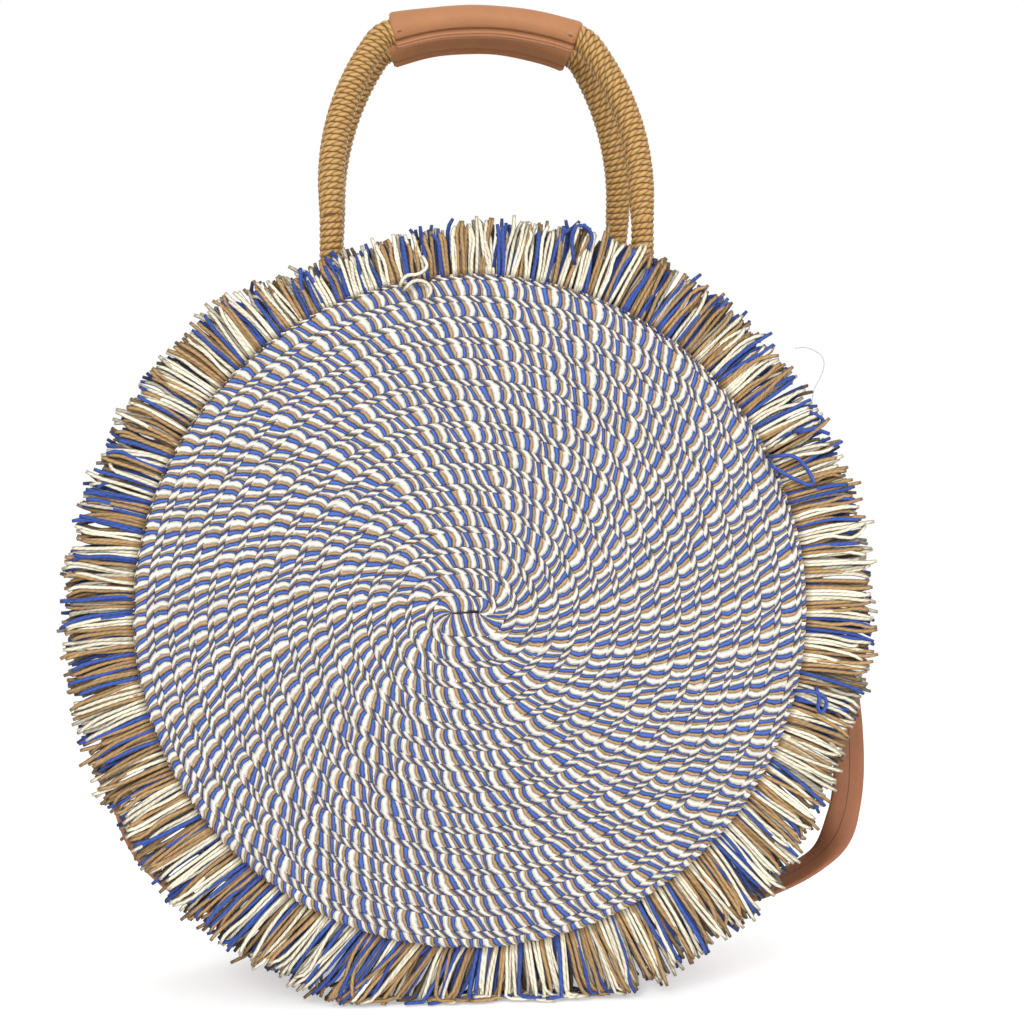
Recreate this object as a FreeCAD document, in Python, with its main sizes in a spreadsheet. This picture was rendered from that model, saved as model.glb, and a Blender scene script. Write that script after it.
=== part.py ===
"""Circle bag: two braided discs joined by a gusset, fringed all round, with two rope handles and a strap.

Millimetres. +X is to the right of someone who faces the bag, +Y towards its back, +Z up. The bag stands
on the floor, z = 0, on the flattened lower edges of its two fringes, and x = y = 0 is below its middle.
"""
import FreeCAD
import Part
import Sketcher
import math
import os
import types

# Driving dimensions: lengths in millimetres, angles in degrees, and counts
SIZES = {
    # Discs, gusset and linings
    "panel_radius": 200,
    "panel_thickness": 5,
    "panel_crown": 4,
    "bag_depth": 130,
    "gusset_inset": 1,
    "gusset_thickness": 4,
    "mouth_half_angle": 42,
    "lining_thickness": 1,
    "seam_gap": 0.3,
    # Fringes
    "fringe_length": 40,
    "fringe_root": 7,
    "fringe_tip": 12,
    "fringe_slot_width": 1.6,
    "fringe_slot_depth": 29,
    "fringe_tufts": 84,
    "floor_flat": 8,
    # Handles, and the ends that are sewn into the bag
    "rope_radius": 7,
    "handle_half_span": 93.5,
    "front_handle_offset": 8.5,
    "back_handle_offset": 7,
    "handle_lean": 14,
    "fringe_gap": 0.8,
    "pivot_height": 234,
    "leg_rise": 24.0,
    "shoulder_radius": 166,
    "shoulder_turn": 33.5,
    "bend_radius": 16,
    "grip_start_turn": 69,
    "root_length": 125,
    "root_gap": 0.3,
    "anchor_width": 40,
    "anchor_height": 46,
    "anchor_rise": 6,
    "anchor_wall": 1.8,
    # Grips
    "grip_leather": 1.6,
    "grip_gap": 0.15,
    "grip_flange": 3,
    # Magnetic snap and inner pocket
    "snap_radius": 9,
    "snap_plate": 2,
    "snap_post_radius": 3,
    "snap_post": 2.5,
    "snap_wall": 2.5,
    "snap_height": 165,
    "pocket_width": 150,
    "pocket_height": 110,
    "pocket_corner": 14,
    "pocket_top": 70,
    # Strap, its tabs and rings
    "strap_width": 20,
    "strap_leather": 1.6,
    "strap_lead": 34,
    "tab_angle": 57,
    "tab_length": 34,
    "ring_wire_radius": 1.5,
    "ring_inner_width": 27,
    "ring_corner": 4,
    "ring_reach": 16,
    "ring_outward": 14,
    "eye_gap": 0.3,
    "tongue_length": 30,
    "tongue_turn": 3,
    "rivet_place": 14,
    "rivet_radius": 3.5,
    "rivet_shank": 1.5,
    "rivet_head": 1.2,
    # One overrun for all cuts
    "overrun": 20,
}

# The strap's route between its two ends, seen from the front: x, and z from the middle of the discs
STRAP_ROUTE = [
    (226, 2),
    (234, -42),
    (240, -86),
    (240, -124),
    (228, -156),
    (203, -176),
    (165, -191),
    (118, -204),
    (69, -214),
    (19, -220),
    (-31, -220),
    (-81, -213),
    (-130, -200),
    (-174, -180),
    (-206, -151),
    (-221, -110),
    (-227, -66),
    (-227, -24),
    (-222, 12),
]
STRAP_BEND_SHARE = 0.45


class Size:
    """A number worked out from the sheet, with the formula that keeps a property bound to it."""

    def __init__(self, value, formula):
        self.value = value
        self.formula = formula

    def __add__(self, other):
        return combined(self, "+", other)

    def __radd__(self, other):
        return combined(other, "+", self)

    def __sub__(self, other):
        return combined(self, "-", other)

    def __rsub__(self, other):
        return combined(other, "-", self)

    def __mul__(self, other):
        return combined(self, "*", other)

    def __rmul__(self, other):
        return combined(other, "*", self)

    def __truediv__(self, other):
        return combined(self, "/", other)

    def __neg__(self):
        return combined(0, "-", self)


def sized(number):
    """The number as a Size, whether it is one already or plain."""
    return number if isinstance(number, Size) else Size(number, repr(number))


def combined(left, sign, right):
    """The sum, difference, product or quotient of two sizes."""
    left = sized(left)
    right = sized(right)
    answers = {
        "+": lambda a, b: a + b,
        "-": lambda a, b: a - b,
        "*": lambda a, b: a * b,
        "/": lambda a, b: a / b,
    }
    return Size(answers[sign](left.value, right.value), f"({left.formula} {sign} {right.formula})")


def sine(angle):
    return Size(math.sin(math.radians(angle.value)), f"sin({angle.formula})")


def cosine(angle):
    return Size(math.cos(math.radians(angle.value)), f"cos({angle.formula})")


def root(size):
    return Size(math.sqrt(size.value), f"sqrt({size.formula})")


def bind(target, path, size):
    """Ties a property of a document object to the sheet."""
    target.setExpression(path, sized(size).formula)


def place(target, x=0, y=0, z=0, axis=(0, 0, 1), angle=0):
    """Places an object, with its position and its turn tied to the sheet."""
    turn = FreeCAD.Rotation(FreeCAD.Vector(*axis), sized(angle).value)
    target.Placement = FreeCAD.Placement(FreeCAD.Vector(), turn)
    if sized(angle).value:
        bind(target, "Placement.Rotation.Angle", angle)
    for letter, size in zip("xyz", (x, y, z)):
        bind(target, f"Placement.Base.{letter}", size)


def new_body(name):
    body = doc.addObject("PartDesign::Body", name)
    nodes.append(body)
    return body


def origin_feature(body, role):
    return next(feature for feature in body.Origin.OriginFeatures if feature.Role == role)


def new_sketch(body, plane):
    sketch = body.newObject("Sketcher::SketchObject", "sketch")
    sketch.AttachmentSupport = (origin_feature(body, plane), [""])
    sketch.MapMode = "FlatFace"
    return sketch


def limit(sketch, kind, where, size):
    """Adds a dimension to a sketch and ties it to the sheet."""
    size = sized(size)
    index = sketch.addConstraint(Sketcher.Constraint(kind, *where, size.value))
    name = f"size{index}"
    sketch.renameConstraint(index, name)
    bind(sketch, f"Constraints.{name}", size)


def arc_middle(start, end, radius, side):
    """The middle of the short arc from start to end that bulges to the left of the way, or right if -1."""
    chord = end - start
    half = chord.Length / 2
    rise = radius - math.sqrt(max(radius * radius - half * half, 0))
    leftward = FreeCAD.Vector(-chord.y, chord.x, 0).normalize()
    return start + chord / 2 + leftward * (side * rise)


def draw(sketch, corners, closed=True):
    """Draws a line through corners (x, y) or (x, y, radius, side), each tied to the sheet.

    A corner with a radius starts an arc to the next one, which bulges to the left of the way (side 1)
    or to its right (-1).
    """
    first = sketch.GeometryCount
    points = [FreeCAD.Vector(sized(corner[0]).value, sized(corner[1]).value, 0) for corner in corners]
    edges = len(corners) if closed else len(corners) - 1
    ends = []
    for i in range(edges):
        start = points[i]
        end = points[(i + 1) % len(points)]
        arc = corners[i][2:]
        if not arc:
            sketch.addGeometry(Part.LineSegment(start, end))
            ends.append((1, 2))
            continue
        radius, side = arc
        middle = arc_middle(start, end, sized(radius).value, side)
        if side > 0:
            sketch.addGeometry(Part.Arc(end, middle, start))
            ends.append((2, 1))
        else:
            sketch.addGeometry(Part.Arc(start, middle, end))
            ends.append((1, 2))
    for i in range(edges if closed else edges - 1):
        following = (i + 1) % edges
        joint = (first + i, ends[i][1], first + following, ends[following][0])
        sketch.addConstraint(Sketcher.Constraint("Coincident", *joint))
    for i, corner in enumerate(corners):
        vertex = (first + i, ends[i][0]) if i < edges else (first + edges - 1, ends[-1][1])
        limit(sketch, "DistanceX", vertex, corner[0])
        limit(sketch, "DistanceY", vertex, corner[1])
    for i in range(edges):
        if corners[i][2:]:
            limit(sketch, "Radius", (first + i,), corners[i][2])


def draw_circle(sketch, x, y, radius):
    """Draws a circle, tied to the sheet."""
    centre = FreeCAD.Vector(sized(x).value, sized(y).value, 0)
    index = sketch.addGeometry(Part.Circle(centre, FreeCAD.Vector(0, 0, 1), sized(radius).value))
    limit(sketch, "DistanceX", (index, 3), x)
    limit(sketch, "DistanceY", (index, 3), y)
    limit(sketch, "Radius", (index,), radius)


def revolve(body, sketch, angle=360, axis="H_Axis"):
    """Turns a sketch about its own level or upright axis, evenly to both sides."""
    feature = body.newObject("PartDesign::Revolution", "revolution")
    feature.Profile = sketch
    feature.ReferenceAxis = (sketch, [axis])
    feature.Midplane = True
    bind(feature, "Angle", angle)
    body.Tip = feature
    return feature


def pad(body, sketch, length, both_ways=False):
    feature = body.newObject("PartDesign::Pad", "pad")
    feature.Profile = sketch
    feature.SideType = "Symmetric" if both_ways else "One side"
    bind(feature, "Length", length)
    body.Tip = feature
    return feature


def cut_through(body, sketch):
    """Cuts a sketch through all of the body, on both sides of the sketch."""
    feature = body.newObject("PartDesign::Pocket", "pocket")
    feature.Profile = sketch
    feature.SideType = "Symmetric"
    feature.Type = "ThroughAll"
    body.Tip = feature
    return feature


def cylinder(name, radius, height):
    feature = doc.addObject("Part::Cylinder", name)
    bind(feature, "Radius", radius)
    bind(feature, "Height", height)
    nodes.append(feature)
    return feature


doc = FreeCAD.newDocument("circle_bag")
nodes = []
sheet = doc.addObject("Spreadsheet::Sheet", "sheet")
for row, (alias, number) in enumerate(SIZES.items(), 1):
    sheet.set(f"A{row}", str(number))
    sheet.setAlias(f"A{row}", alias)
doc.recompute()
d = types.SimpleNamespace(**{alias: Size(sheet.get(alias), f"sheet.{alias}") for alias in SIZES})

FRONT = -1
BACK = 1
LEFT = -1
RIGHT = 1
SIDES = {"front": FRONT, "back": BACK}
HANDS = {"left": LEFT, "right": RIGHT}

# Where the layers lie: distances from the middle plane, and radii about the middle of the discs
fringe_outer = d.panel_radius + d.fringe_length
axis_height = fringe_outer - d.floor_flat
panel_inside = d.bag_depth / 2 - d.panel_thickness
lining_seat = panel_inside - d.seam_gap
lining_face = lining_seat - d.lining_thickness
inside_seat = lining_face - d.seam_gap
gusset_outer = d.panel_radius - d.gusset_inset
gusset_inner = gusset_outer - d.gusset_thickness
lining_radius = gusset_inner - d.seam_gap
mouth_turn = 360 - 2 * d.mouth_half_angle


def make_panel(name, side):
    """A disc with a rounded rim, flat inside and slightly crowned outside."""
    body = new_body(name)
    round_radius = d.panel_thickness / 2
    rim = d.panel_radius - round_radius
    crown_radius = (rim * rim + d.panel_crown * d.panel_crown) / (2 * d.panel_crown)
    face = d.bag_depth / 2
    sketch = new_sketch(body, "YZ_Plane")
    draw(
        sketch,
        [
            (side * panel_inside, 0),
            (side * panel_inside, rim, round_radius, side),
            (side * (panel_inside + round_radius), d.panel_radius, round_radius, side),
            (side * face, rim, crown_radius, side),
            (side * (face + d.panel_crown), 0),
        ],
    )
    revolve(body, sketch)
    place(body, z=axis_height)


def make_band(name, half_width, outer, thickness):
    """A band round the discs' edge, open at the mouth."""
    body = new_body(name)
    sketch = new_sketch(body, "YZ_Plane")
    draw(
        sketch,
        [
            (-half_width, -outer),
            (half_width, -outer),
            (half_width, thickness - outer),
            (-half_width, thickness - outer),
        ],
    )
    revolve(body, sketch, mouth_turn)
    place(body, z=axis_height)


def make_lining(name, side):
    """A disc of lining cloth, just inside a panel."""
    disc = cylinder(name, lining_radius, d.lining_thickness)
    near = lining_face if side == BACK else -lining_seat
    place(disc, y=near, z=axis_height, axis=(1, 0, 0), angle=-90)


def make_pocket(name):
    """A patch pocket on the back lining, with round lower corners."""
    body = new_body(name)
    half = d.pocket_width / 2
    low = d.pocket_top - d.pocket_height
    corner = d.pocket_corner
    sketch = new_sketch(body, "XZ_Plane")
    draw(
        sketch,
        [
            (corner - half, low),
            (half - corner, low, corner, -1),
            (half, low + corner),
            (half, d.pocket_top),
            (-half, d.pocket_top),
            (-half, low + corner, corner, -1),
        ],
    )
    pad(body, sketch, d.lining_thickness)
    place(body, y=inside_seat, z=axis_height)


def make_snap_socket(name):
    """The snap's round socket, on the front lining."""
    body = new_body(name)
    bore = d.snap_post_radius + d.seam_gap
    boss = bore + d.snap_wall
    floor = d.snap_plate - inside_seat
    lip = floor + d.snap_post
    sketch = new_sketch(body, "YZ_Plane")
    draw(
        sketch,
        [
            (-inside_seat, 0),
            (-inside_seat, d.snap_radius),
            (floor, d.snap_radius),
            (floor, boss),
            (lip, boss),
            (lip, bore),
            (floor, bore),
            (floor, 0),
        ],
    )
    revolve(body, sketch)
    place(body, z=axis_height + d.snap_height)


def make_snap_stud(name):
    """The snap's stud, on the back lining, level with the socket."""
    body = new_body(name)
    floor = inside_seat - d.snap_plate
    tip = floor - d.snap_post
    sketch = new_sketch(body, "YZ_Plane")
    draw(
        sketch,
        [
            (inside_seat, 0),
            (inside_seat, d.snap_radius),
            (floor, d.snap_radius),
            (floor, d.snap_post_radius),
            (tip, d.snap_post_radius),
            (tip, 0),
        ],
    )
    revolve(body, sketch)
    place(body, z=axis_height + d.snap_height)


# The fringes stand over the panels' edges, halfway through the panels' thickness
fringe_middle = d.bag_depth / 2 - d.panel_thickness / 2


def make_fringe(name, side):
    """A ring of yarn tufts round a panel's edge, pressed flat where it stands on the floor."""
    body = new_body(name)
    inner = d.panel_radius + d.seam_gap
    sketch = new_sketch(body, "YZ_Plane")
    draw(
        sketch,
        [
            (side * fringe_middle - d.fringe_root / 2, inner),
            (side * fringe_middle + d.fringe_root / 2, inner),
            (side * fringe_middle + d.fringe_tip / 2, fringe_outer),
            (side * fringe_middle - d.fringe_tip / 2, fringe_outer),
        ],
    )
    revolve(body, sketch)
    slot = new_sketch(body, "XZ_Plane")
    half_slot = d.fringe_slot_width / 2
    slot_floor = fringe_outer - d.fringe_slot_depth
    draw(
        slot,
        [
            (-half_slot, slot_floor),
            (half_slot, slot_floor),
            (half_slot, fringe_outer + d.overrun),
            (-half_slot, fringe_outer + d.overrun),
        ],
    )
    first_slot = cut_through(body, slot)
    slots = body.newObject("PartDesign::PolarPattern", "slots")
    slots.Originals = [first_slot]
    slots.Axis = (origin_feature(body, "Y_Axis"), [""])
    slots.Angle = 360
    bind(slots, "Occurrences", d.fringe_tufts)
    body.Tip = slots
    floor = new_sketch(body, "XZ_Plane")
    reach = fringe_outer + d.overrun
    draw(
        floor,
        [
            (-reach, -reach),
            (reach, -reach),
            (reach, -axis_height),
            (-reach, -axis_height),
        ],
    )
    cut_through(body, floor)
    place(body, z=axis_height)


# Each handle's pivots stand just inside its fringe, above it, and its middle is a little to the right
handle_offset = {FRONT: d.front_handle_offset, BACK: d.back_handle_offset}
pivot_depth = fringe_middle - d.fringe_tip / 2 - d.fringe_gap - d.rope_radius
pivot_z = axis_height + d.pivot_height
shoulder_in = d.shoulder_radius * (1 - cosine(d.shoulder_turn))
shoulder_up = d.leg_rise + d.shoulder_radius * sine(d.shoulder_turn)
bend_in = shoulder_in + d.bend_radius * (cosine(d.shoulder_turn) - cosine(d.grip_start_turn))
bend_up = shoulder_up + d.bend_radius * (sine(d.grip_start_turn) - sine(d.shoulder_turn))
grip_radius = (d.handle_half_span - bend_in) / cosine(d.grip_start_turn)
grip_centre = bend_up - grip_radius * sine(d.grip_start_turn)


def make_handle_rope(name, side):
    """The free part of a handle's rope: two legs, two shoulders and the arched top, with round lower ends."""
    body = new_body(name)
    span = d.handle_half_span
    path = new_sketch(body, "XZ_Plane")
    draw(
        path,
        [
            (-span, 0),
            (-span, d.leg_rise, d.shoulder_radius, 1),
            (shoulder_in - span, shoulder_up, d.bend_radius, 1),
            (bend_in - span, bend_up, grip_radius, 1),
            (span - bend_in, bend_up, d.bend_radius, 1),
            (span - shoulder_in, shoulder_up, d.shoulder_radius, 1),
            (span, d.leg_rise),
            (span, 0),
        ],
        closed=False,
    )
    section = new_sketch(body, "XY_Plane")
    draw_circle(section, -span, 0, d.rope_radius)
    rope = body.newObject("PartDesign::AdditivePipe", "rope")
    rope.Profile = section
    rope.Spine = (path, [f"Edge{i + 1}" for i in range(path.GeometryCount)])
    body.Tip = rope
    for hand in HANDS.values():
        end = body.newObject("PartDesign::AdditiveSphere", "end")
        bind(end, "Radius", d.rope_radius)
        end.Angle1 = -90
        end.Angle2 = 0
        end.AttachmentSupport = (origin_feature(body, "XY_Plane"), [""])
        end.MapMode = "FlatFace"
        bind(end, "AttachmentOffset.Base.x", hand * span)
        body.Tip = end
    place(body, handle_offset[side], side * pivot_depth, pivot_z, (1, 0, 0), side * d.handle_lean)


def make_grip(name, side):
    """A leather sleeve folded round the top of a handle, with its two edges sewn together below."""
    body = new_body(name)
    bore = d.rope_radius + d.grip_gap
    outer = bore + d.grip_leather
    edge = d.grip_leather
    neck = grip_radius - root(outer * outer - edge * edge)
    flange_end = grip_radius - outer - d.grip_flange
    sketch = new_sketch(body, "YZ_Plane")
    draw(
        sketch,
        [
            (-edge, flange_end),
            (edge, flange_end),
            (edge, neck, outer, -1),
            (0, grip_radius + outer, outer, -1),
            (-edge, neck),
        ],
    )
    draw_circle(sketch, 0, grip_radius, bore)
    revolve(body, sketch, 2 * (90 - d.grip_start_turn))
    y = side * pivot_depth - side * grip_centre * sine(d.handle_lean)
    z = pivot_z + grip_centre * cosine(d.handle_lean)
    place(body, handle_offset[side], y, z, (1, 0, 0), side * d.handle_lean)


# The sewn-in ends stop below the pivots, and the anchors hold them to the linings
root_top = pivot_z - d.rope_radius - d.root_gap
root_bottom = root_top - d.root_length


def make_root(name, side, hand):
    """A handle's sewn-in end, straight down inside the bag."""
    stub = cylinder(name, d.rope_radius, d.root_length)
    place(stub, handle_offset[side] + hand * d.handle_half_span, side * pivot_depth, root_bottom)


def make_anchor(name, side, hand):
    """A leather saddle that holds a handle's sewn-in end against the lining."""
    body = new_body(name)
    bore = d.rope_radius + d.root_gap
    outer = bore + d.anchor_wall
    half = d.anchor_width / 2
    foot = inside_seat - pivot_depth
    shoulder = root(outer * outer - bore * bore)
    sketch = new_sketch(body, "XY_Plane")
    draw(
        sketch,
        [
            (-half, side * foot),
            (half, side * foot),
            (half, side * bore),
            (shoulder, side * bore, outer, side),
            (0, -side * outer, outer, side),
            (-shoulder, side * bore),
            (-half, side * bore),
        ],
    )
    draw_circle(sketch, 0, 0, bore)
    pad(body, sketch, d.anchor_height)
    x = handle_offset[side] + hand * d.handle_half_span
    place(body, x, side * pivot_depth, root_bottom + d.anchor_rise)


# The strap hangs from rings, and the rings from tabs on the gusset
strap_thickness = 2 * d.strap_leather
bar_bore = d.ring_wire_radius + d.eye_gap
eye_radius = bar_bore + d.strap_leather
tab_seat = gusset_outer + d.seam_gap
bar_radius = tab_seat + eye_radius
bar_x = bar_radius * sine(d.tab_angle)
bar_z = axis_height + bar_radius * cosine(d.tab_angle)
ring_turn = d.tab_angle - d.ring_outward
tongue_turn = d.tab_angle + d.tongue_turn
tongue_x = bar_x + d.ring_reach * cosine(ring_turn)
tongue_z = bar_z - d.ring_reach * sine(ring_turn)


def make_tab(name, hand):
    """A leather strip folded round a ring's bar and sewn to the gusset."""
    body = new_body(name)
    sweep = d.tab_length / tab_seat * (180 / math.pi)
    top = tab_seat + strap_thickness
    meet = root(eye_radius * eye_radius - (eye_radius - strap_thickness) * (eye_radius - strap_thickness))
    sketch = new_sketch(body, "XZ_Plane")
    draw(
        sketch,
        [
            (0, 0, tab_seat, hand),
            (hand * tab_seat * sine(sweep), tab_seat * cosine(sweep) - tab_seat),
            (hand * top * sine(sweep), top * cosine(sweep) - tab_seat, top, -hand),
            (hand * meet, root(top * top - meet * meet) - tab_seat, eye_radius, -hand),
            (0, 2 * eye_radius, eye_radius, -hand),
            (-hand * eye_radius, eye_radius, eye_radius, -hand),
        ],
    )
    draw_circle(sketch, 0, eye_radius, bar_bore)
    pad(body, sketch, d.strap_width, both_ways=True)
    x = hand * tab_seat * sine(d.tab_angle)
    z = axis_height + tab_seat * cosine(d.tab_angle)
    place(body, x=x, z=z, axis=(0, 1, 0), angle=hand * d.tab_angle)


def make_ring(name, hand):
    """A ring of round wire with two straight bars: one in the tab and one in the strap's fold."""
    body = new_body(name)
    half = d.ring_inner_width / 2 + d.ring_wire_radius
    corner = d.ring_corner
    reach = d.ring_reach
    path = new_sketch(body, "XY_Plane")
    draw(
        path,
        [
            (0, 0),
            (0, half - corner, corner, hand),
            (hand * corner, half),
            (hand * (reach - corner), half, corner, hand),
            (hand * reach, half - corner),
            (hand * reach, corner - half, corner, hand),
            (hand * (reach - corner), -half),
            (hand * corner, -half, corner, hand),
            (0, corner - half),
        ],
    )
    section = new_sketch(body, "XZ_Plane")
    draw_circle(section, 0, 0, d.ring_wire_radius)
    wire = body.newObject("PartDesign::AdditivePipe", "wire")
    wire.Profile = section
    wire.Spine = (path, [f"Edge{i + 1}" for i in range(path.GeometryCount)])
    body.Tip = wire
    place(body, x=hand * bar_x, z=bar_z, axis=(0, 1, 0), angle=hand * ring_turn)


def make_tongue(name, hand):
    """The strap's end, folded round the ring's lower bar and riveted to itself."""
    body = new_body(name)
    half = strap_thickness / 2
    meet = root(eye_radius * eye_radius - half * half)
    sketch = new_sketch(body, "XZ_Plane")
    draw(
        sketch,
        [
            (hand * d.tongue_length, -half),
            (hand * d.tongue_length, half),
            (hand * meet, half, eye_radius, -hand),
            (-hand * eye_radius, 0, eye_radius, -hand),
            (hand * meet, -half),
        ],
    )
    draw_circle(sketch, 0, 0, bar_bore)
    pad(body, sketch, d.strap_width, both_ways=True)
    hole = new_sketch(body, "XY_Plane")
    draw_circle(hole, hand * d.rivet_place, 0, d.rivet_shank + d.eye_gap)
    cut_through(body, hole)
    place(body, x=hand * tongue_x, z=tongue_z, axis=(0, 1, 0), angle=hand * tongue_turn)


def make_rivet(name, hand):
    """The rivet through a tongue, with a head on each face."""
    body = new_body(name)
    half = strap_thickness / 2
    sketch = new_sketch(body, "XZ_Plane")
    draw(
        sketch,
        [
            (0, -half - d.rivet_head),
            (d.rivet_shank, -half - d.rivet_head),
            (d.rivet_radius, -half),
            (d.rivet_shank, -half),
            (d.rivet_shank, half),
            (d.rivet_radius, half),
            (d.rivet_shank, half + d.rivet_head),
            (0, half + d.rivet_head),
        ],
    )
    revolve(body, sketch, axis="V_Axis")
    x = tongue_x + d.rivet_place * cosine(tongue_turn)
    z = tongue_z - d.rivet_place * sine(tongue_turn)
    place(body, x=hand * x, z=z, axis=(0, 1, 0), angle=hand * tongue_turn)


def rounded_route(points):
    """Straight runs joined by tangent arcs, each as large as its two runs allow. Gives edges and radii."""
    edges = []
    radii = []
    here = points[0]
    for before, corner, after in zip(points, points[1:], points[2:]):
        inward = (corner - before).normalize()
        outward = (after - corner).normalize()
        half_turn = inward.getAngle(outward) / 2
        setback = STRAP_BEND_SHARE * min((corner - before).Length, (after - corner).Length)
        radius = setback / math.tan(half_turn)
        start = corner - inward * setback
        end = corner + outward * setback
        toward = (outward - inward).normalize()
        middle = corner + toward * (radius / math.cos(half_turn) - radius)
        edges.append(Part.LineSegment(here, start).toShape())
        edges.append(Part.Arc(start, middle, end).toShape())
        radii.append(radius)
        here = end
    edges.append(Part.LineSegment(here, points[-1]).toShape())
    return edges, radii


def make_strap(name):
    """The strap between its two tongues, down both sides of the bag and below it, above the floor."""
    ends = []
    for hand in (RIGHT, LEFT):
        fold = FreeCAD.Vector(hand * tongue_x.value, 0, tongue_z.value)
        along = FreeCAD.Vector(hand * cosine(tongue_turn).value, 0, -sine(tongue_turn).value)
        start = fold + along * (d.tongue_length.value + d.seam_gap.value)
        ends.append([start, start + along * d.strap_lead.value])
    between = [FreeCAD.Vector(x, 0, axis_height.value + z) for x, z in STRAP_ROUTE]
    points = ends[0] + between + ends[1][::-1]
    edges, radii = rounded_route(points)
    path = Part.Wire(edges)
    half_width = FreeCAD.Vector(0, d.strap_width.value / 2, 0)
    along = (points[1] - points[0]).normalize()
    half_thickness = along.cross(FreeCAD.Vector(0, 1, 0)) * (strap_thickness.value / 2)
    corners = [
        points[0] + half_width + half_thickness,
        points[0] - half_width + half_thickness,
        points[0] - half_width - half_thickness,
        points[0] + half_width - half_thickness,
    ]
    sweep = Part.BRepOffsetAPI.MakePipeShell(path)
    sweep.setBiNormalMode(FreeCAD.Vector(0, 1, 0))
    sweep.add(Part.makePolygon(corners + corners[:1]))
    sweep.build()
    sweep.makeSolid()
    strap = doc.addObject("Part::Feature", name)
    strap.Shape = sweep.shape()
    strap.Placement = FreeCAD.Placement()
    nodes.append(strap)
    expected = path.Length * d.strap_width.value * strap_thickness.value
    print(f"strap: {path.Length:.0f} long, volume {strap.Shape.Volume / expected:.4f} of section times length")
    print("strap bend radii:", ", ".join(f"{radius:.0f}" for radius in radii))


for word, side in SIDES.items():
    make_panel(f"{word}_panel", side)
    make_lining(f"{word}_lining", side)
    make_fringe(f"{word}_fringe", side)
    make_handle_rope(f"{word}_handle_rope", side)
    make_grip(f"{word}_grip", side)
    for hand_word, hand in HANDS.items():
        make_root(f"{word}_{hand_word}_handle_end", side, hand)
        make_anchor(f"{word}_{hand_word}_anchor", side, hand)
make_band("gusset", panel_inside - d.seam_gap, gusset_outer, d.gusset_thickness)
make_band("gusset_lining", lining_face - d.seam_gap, lining_radius, d.lining_thickness)
make_pocket("inner_pocket")
make_snap_socket("snap_socket")
make_snap_stud("snap_stud")
for word, hand in HANDS.items():
    make_tab(f"{word}_strap_tab", hand)
    make_ring(f"{word}_strap_ring", hand)
    make_tongue(f"{word}_strap_end", hand)
    make_rivet(f"{word}_strap_rivet", hand)
make_strap("shoulder_strap")
doc.recompute()

for item in doc.Objects:
    if "Invalid" in item.State or "Error" in item.State:
        raise RuntimeError(f"{item.Name} failed: {item.State}")
for node in nodes:
    if node.Shape.isNull() or not node.Shape.isValid():
        raise RuntimeError(f"{node.Label} has no valid shape")
os.makedirs("parts", exist_ok=True)
for node in nodes:
    node.Shape.exportStep(f"parts/{node.Label}.step")
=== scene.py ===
"""Circle bag: two braided discs with a fringe, two rope handles with leather grips, and a shoulder strap.

Metres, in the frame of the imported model: +X right, +Y back, +Z up, floor at z = 0.
"""
import math

import bpy
import numpy as np
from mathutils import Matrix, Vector


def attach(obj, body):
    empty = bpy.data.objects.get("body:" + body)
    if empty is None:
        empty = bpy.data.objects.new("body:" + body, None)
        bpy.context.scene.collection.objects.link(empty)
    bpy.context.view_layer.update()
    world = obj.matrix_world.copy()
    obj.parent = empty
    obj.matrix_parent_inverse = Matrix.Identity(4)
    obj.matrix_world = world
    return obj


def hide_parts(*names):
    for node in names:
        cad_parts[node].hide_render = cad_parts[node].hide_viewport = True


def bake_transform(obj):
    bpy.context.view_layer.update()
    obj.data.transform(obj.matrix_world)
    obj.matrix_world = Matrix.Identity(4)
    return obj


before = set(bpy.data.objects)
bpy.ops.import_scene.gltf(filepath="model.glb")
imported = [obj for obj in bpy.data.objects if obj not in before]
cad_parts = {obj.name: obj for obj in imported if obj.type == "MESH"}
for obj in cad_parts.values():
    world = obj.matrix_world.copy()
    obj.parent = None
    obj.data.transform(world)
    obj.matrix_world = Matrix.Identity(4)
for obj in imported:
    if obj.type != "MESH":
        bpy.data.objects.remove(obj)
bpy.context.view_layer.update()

# Braided discs
# One flat braid of cream, tan and blue cotton, about 12 mm wide, wound in a spiral from a short doubled start left of
# the middle and sewn row to row. Each strand of the braid holds three yarns side by side.
disc_height = 0.232


def new_object(name, data):
    """A new object in the scene, at the origin."""
    made = bpy.data.objects.new(name, data)
    bpy.context.scene.collection.objects.link(made)
    return made


def lay_mesh(name, points, corners, sizes, uv):
    """One mesh object from arrays: the points, the corners of all the faces one after another, the number of corners
    of each face, and a UV pair for each corner."""
    mesh = bpy.data.meshes.new(name)
    mesh.vertices.add(len(points))
    mesh.vertices.foreach_set("co", np.asarray(points, np.float32).ravel())
    mesh.loops.add(len(corners))
    mesh.loops.foreach_set("vertex_index", np.asarray(corners, np.int32))
    mesh.polygons.add(len(sizes))
    mesh.polygons.foreach_set("loop_start", np.asarray(np.cumsum(sizes) - sizes, np.int32))
    mesh.polygons.foreach_set("use_smooth", np.ones(len(sizes), bool))
    mesh.uv_layers.new(name="UVMap").data.foreach_set("uv", np.asarray(uv, np.float32).ravel())
    mesh.update(calc_edges=True)
    mesh.validate()
    return new_object(name, mesh)


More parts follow.
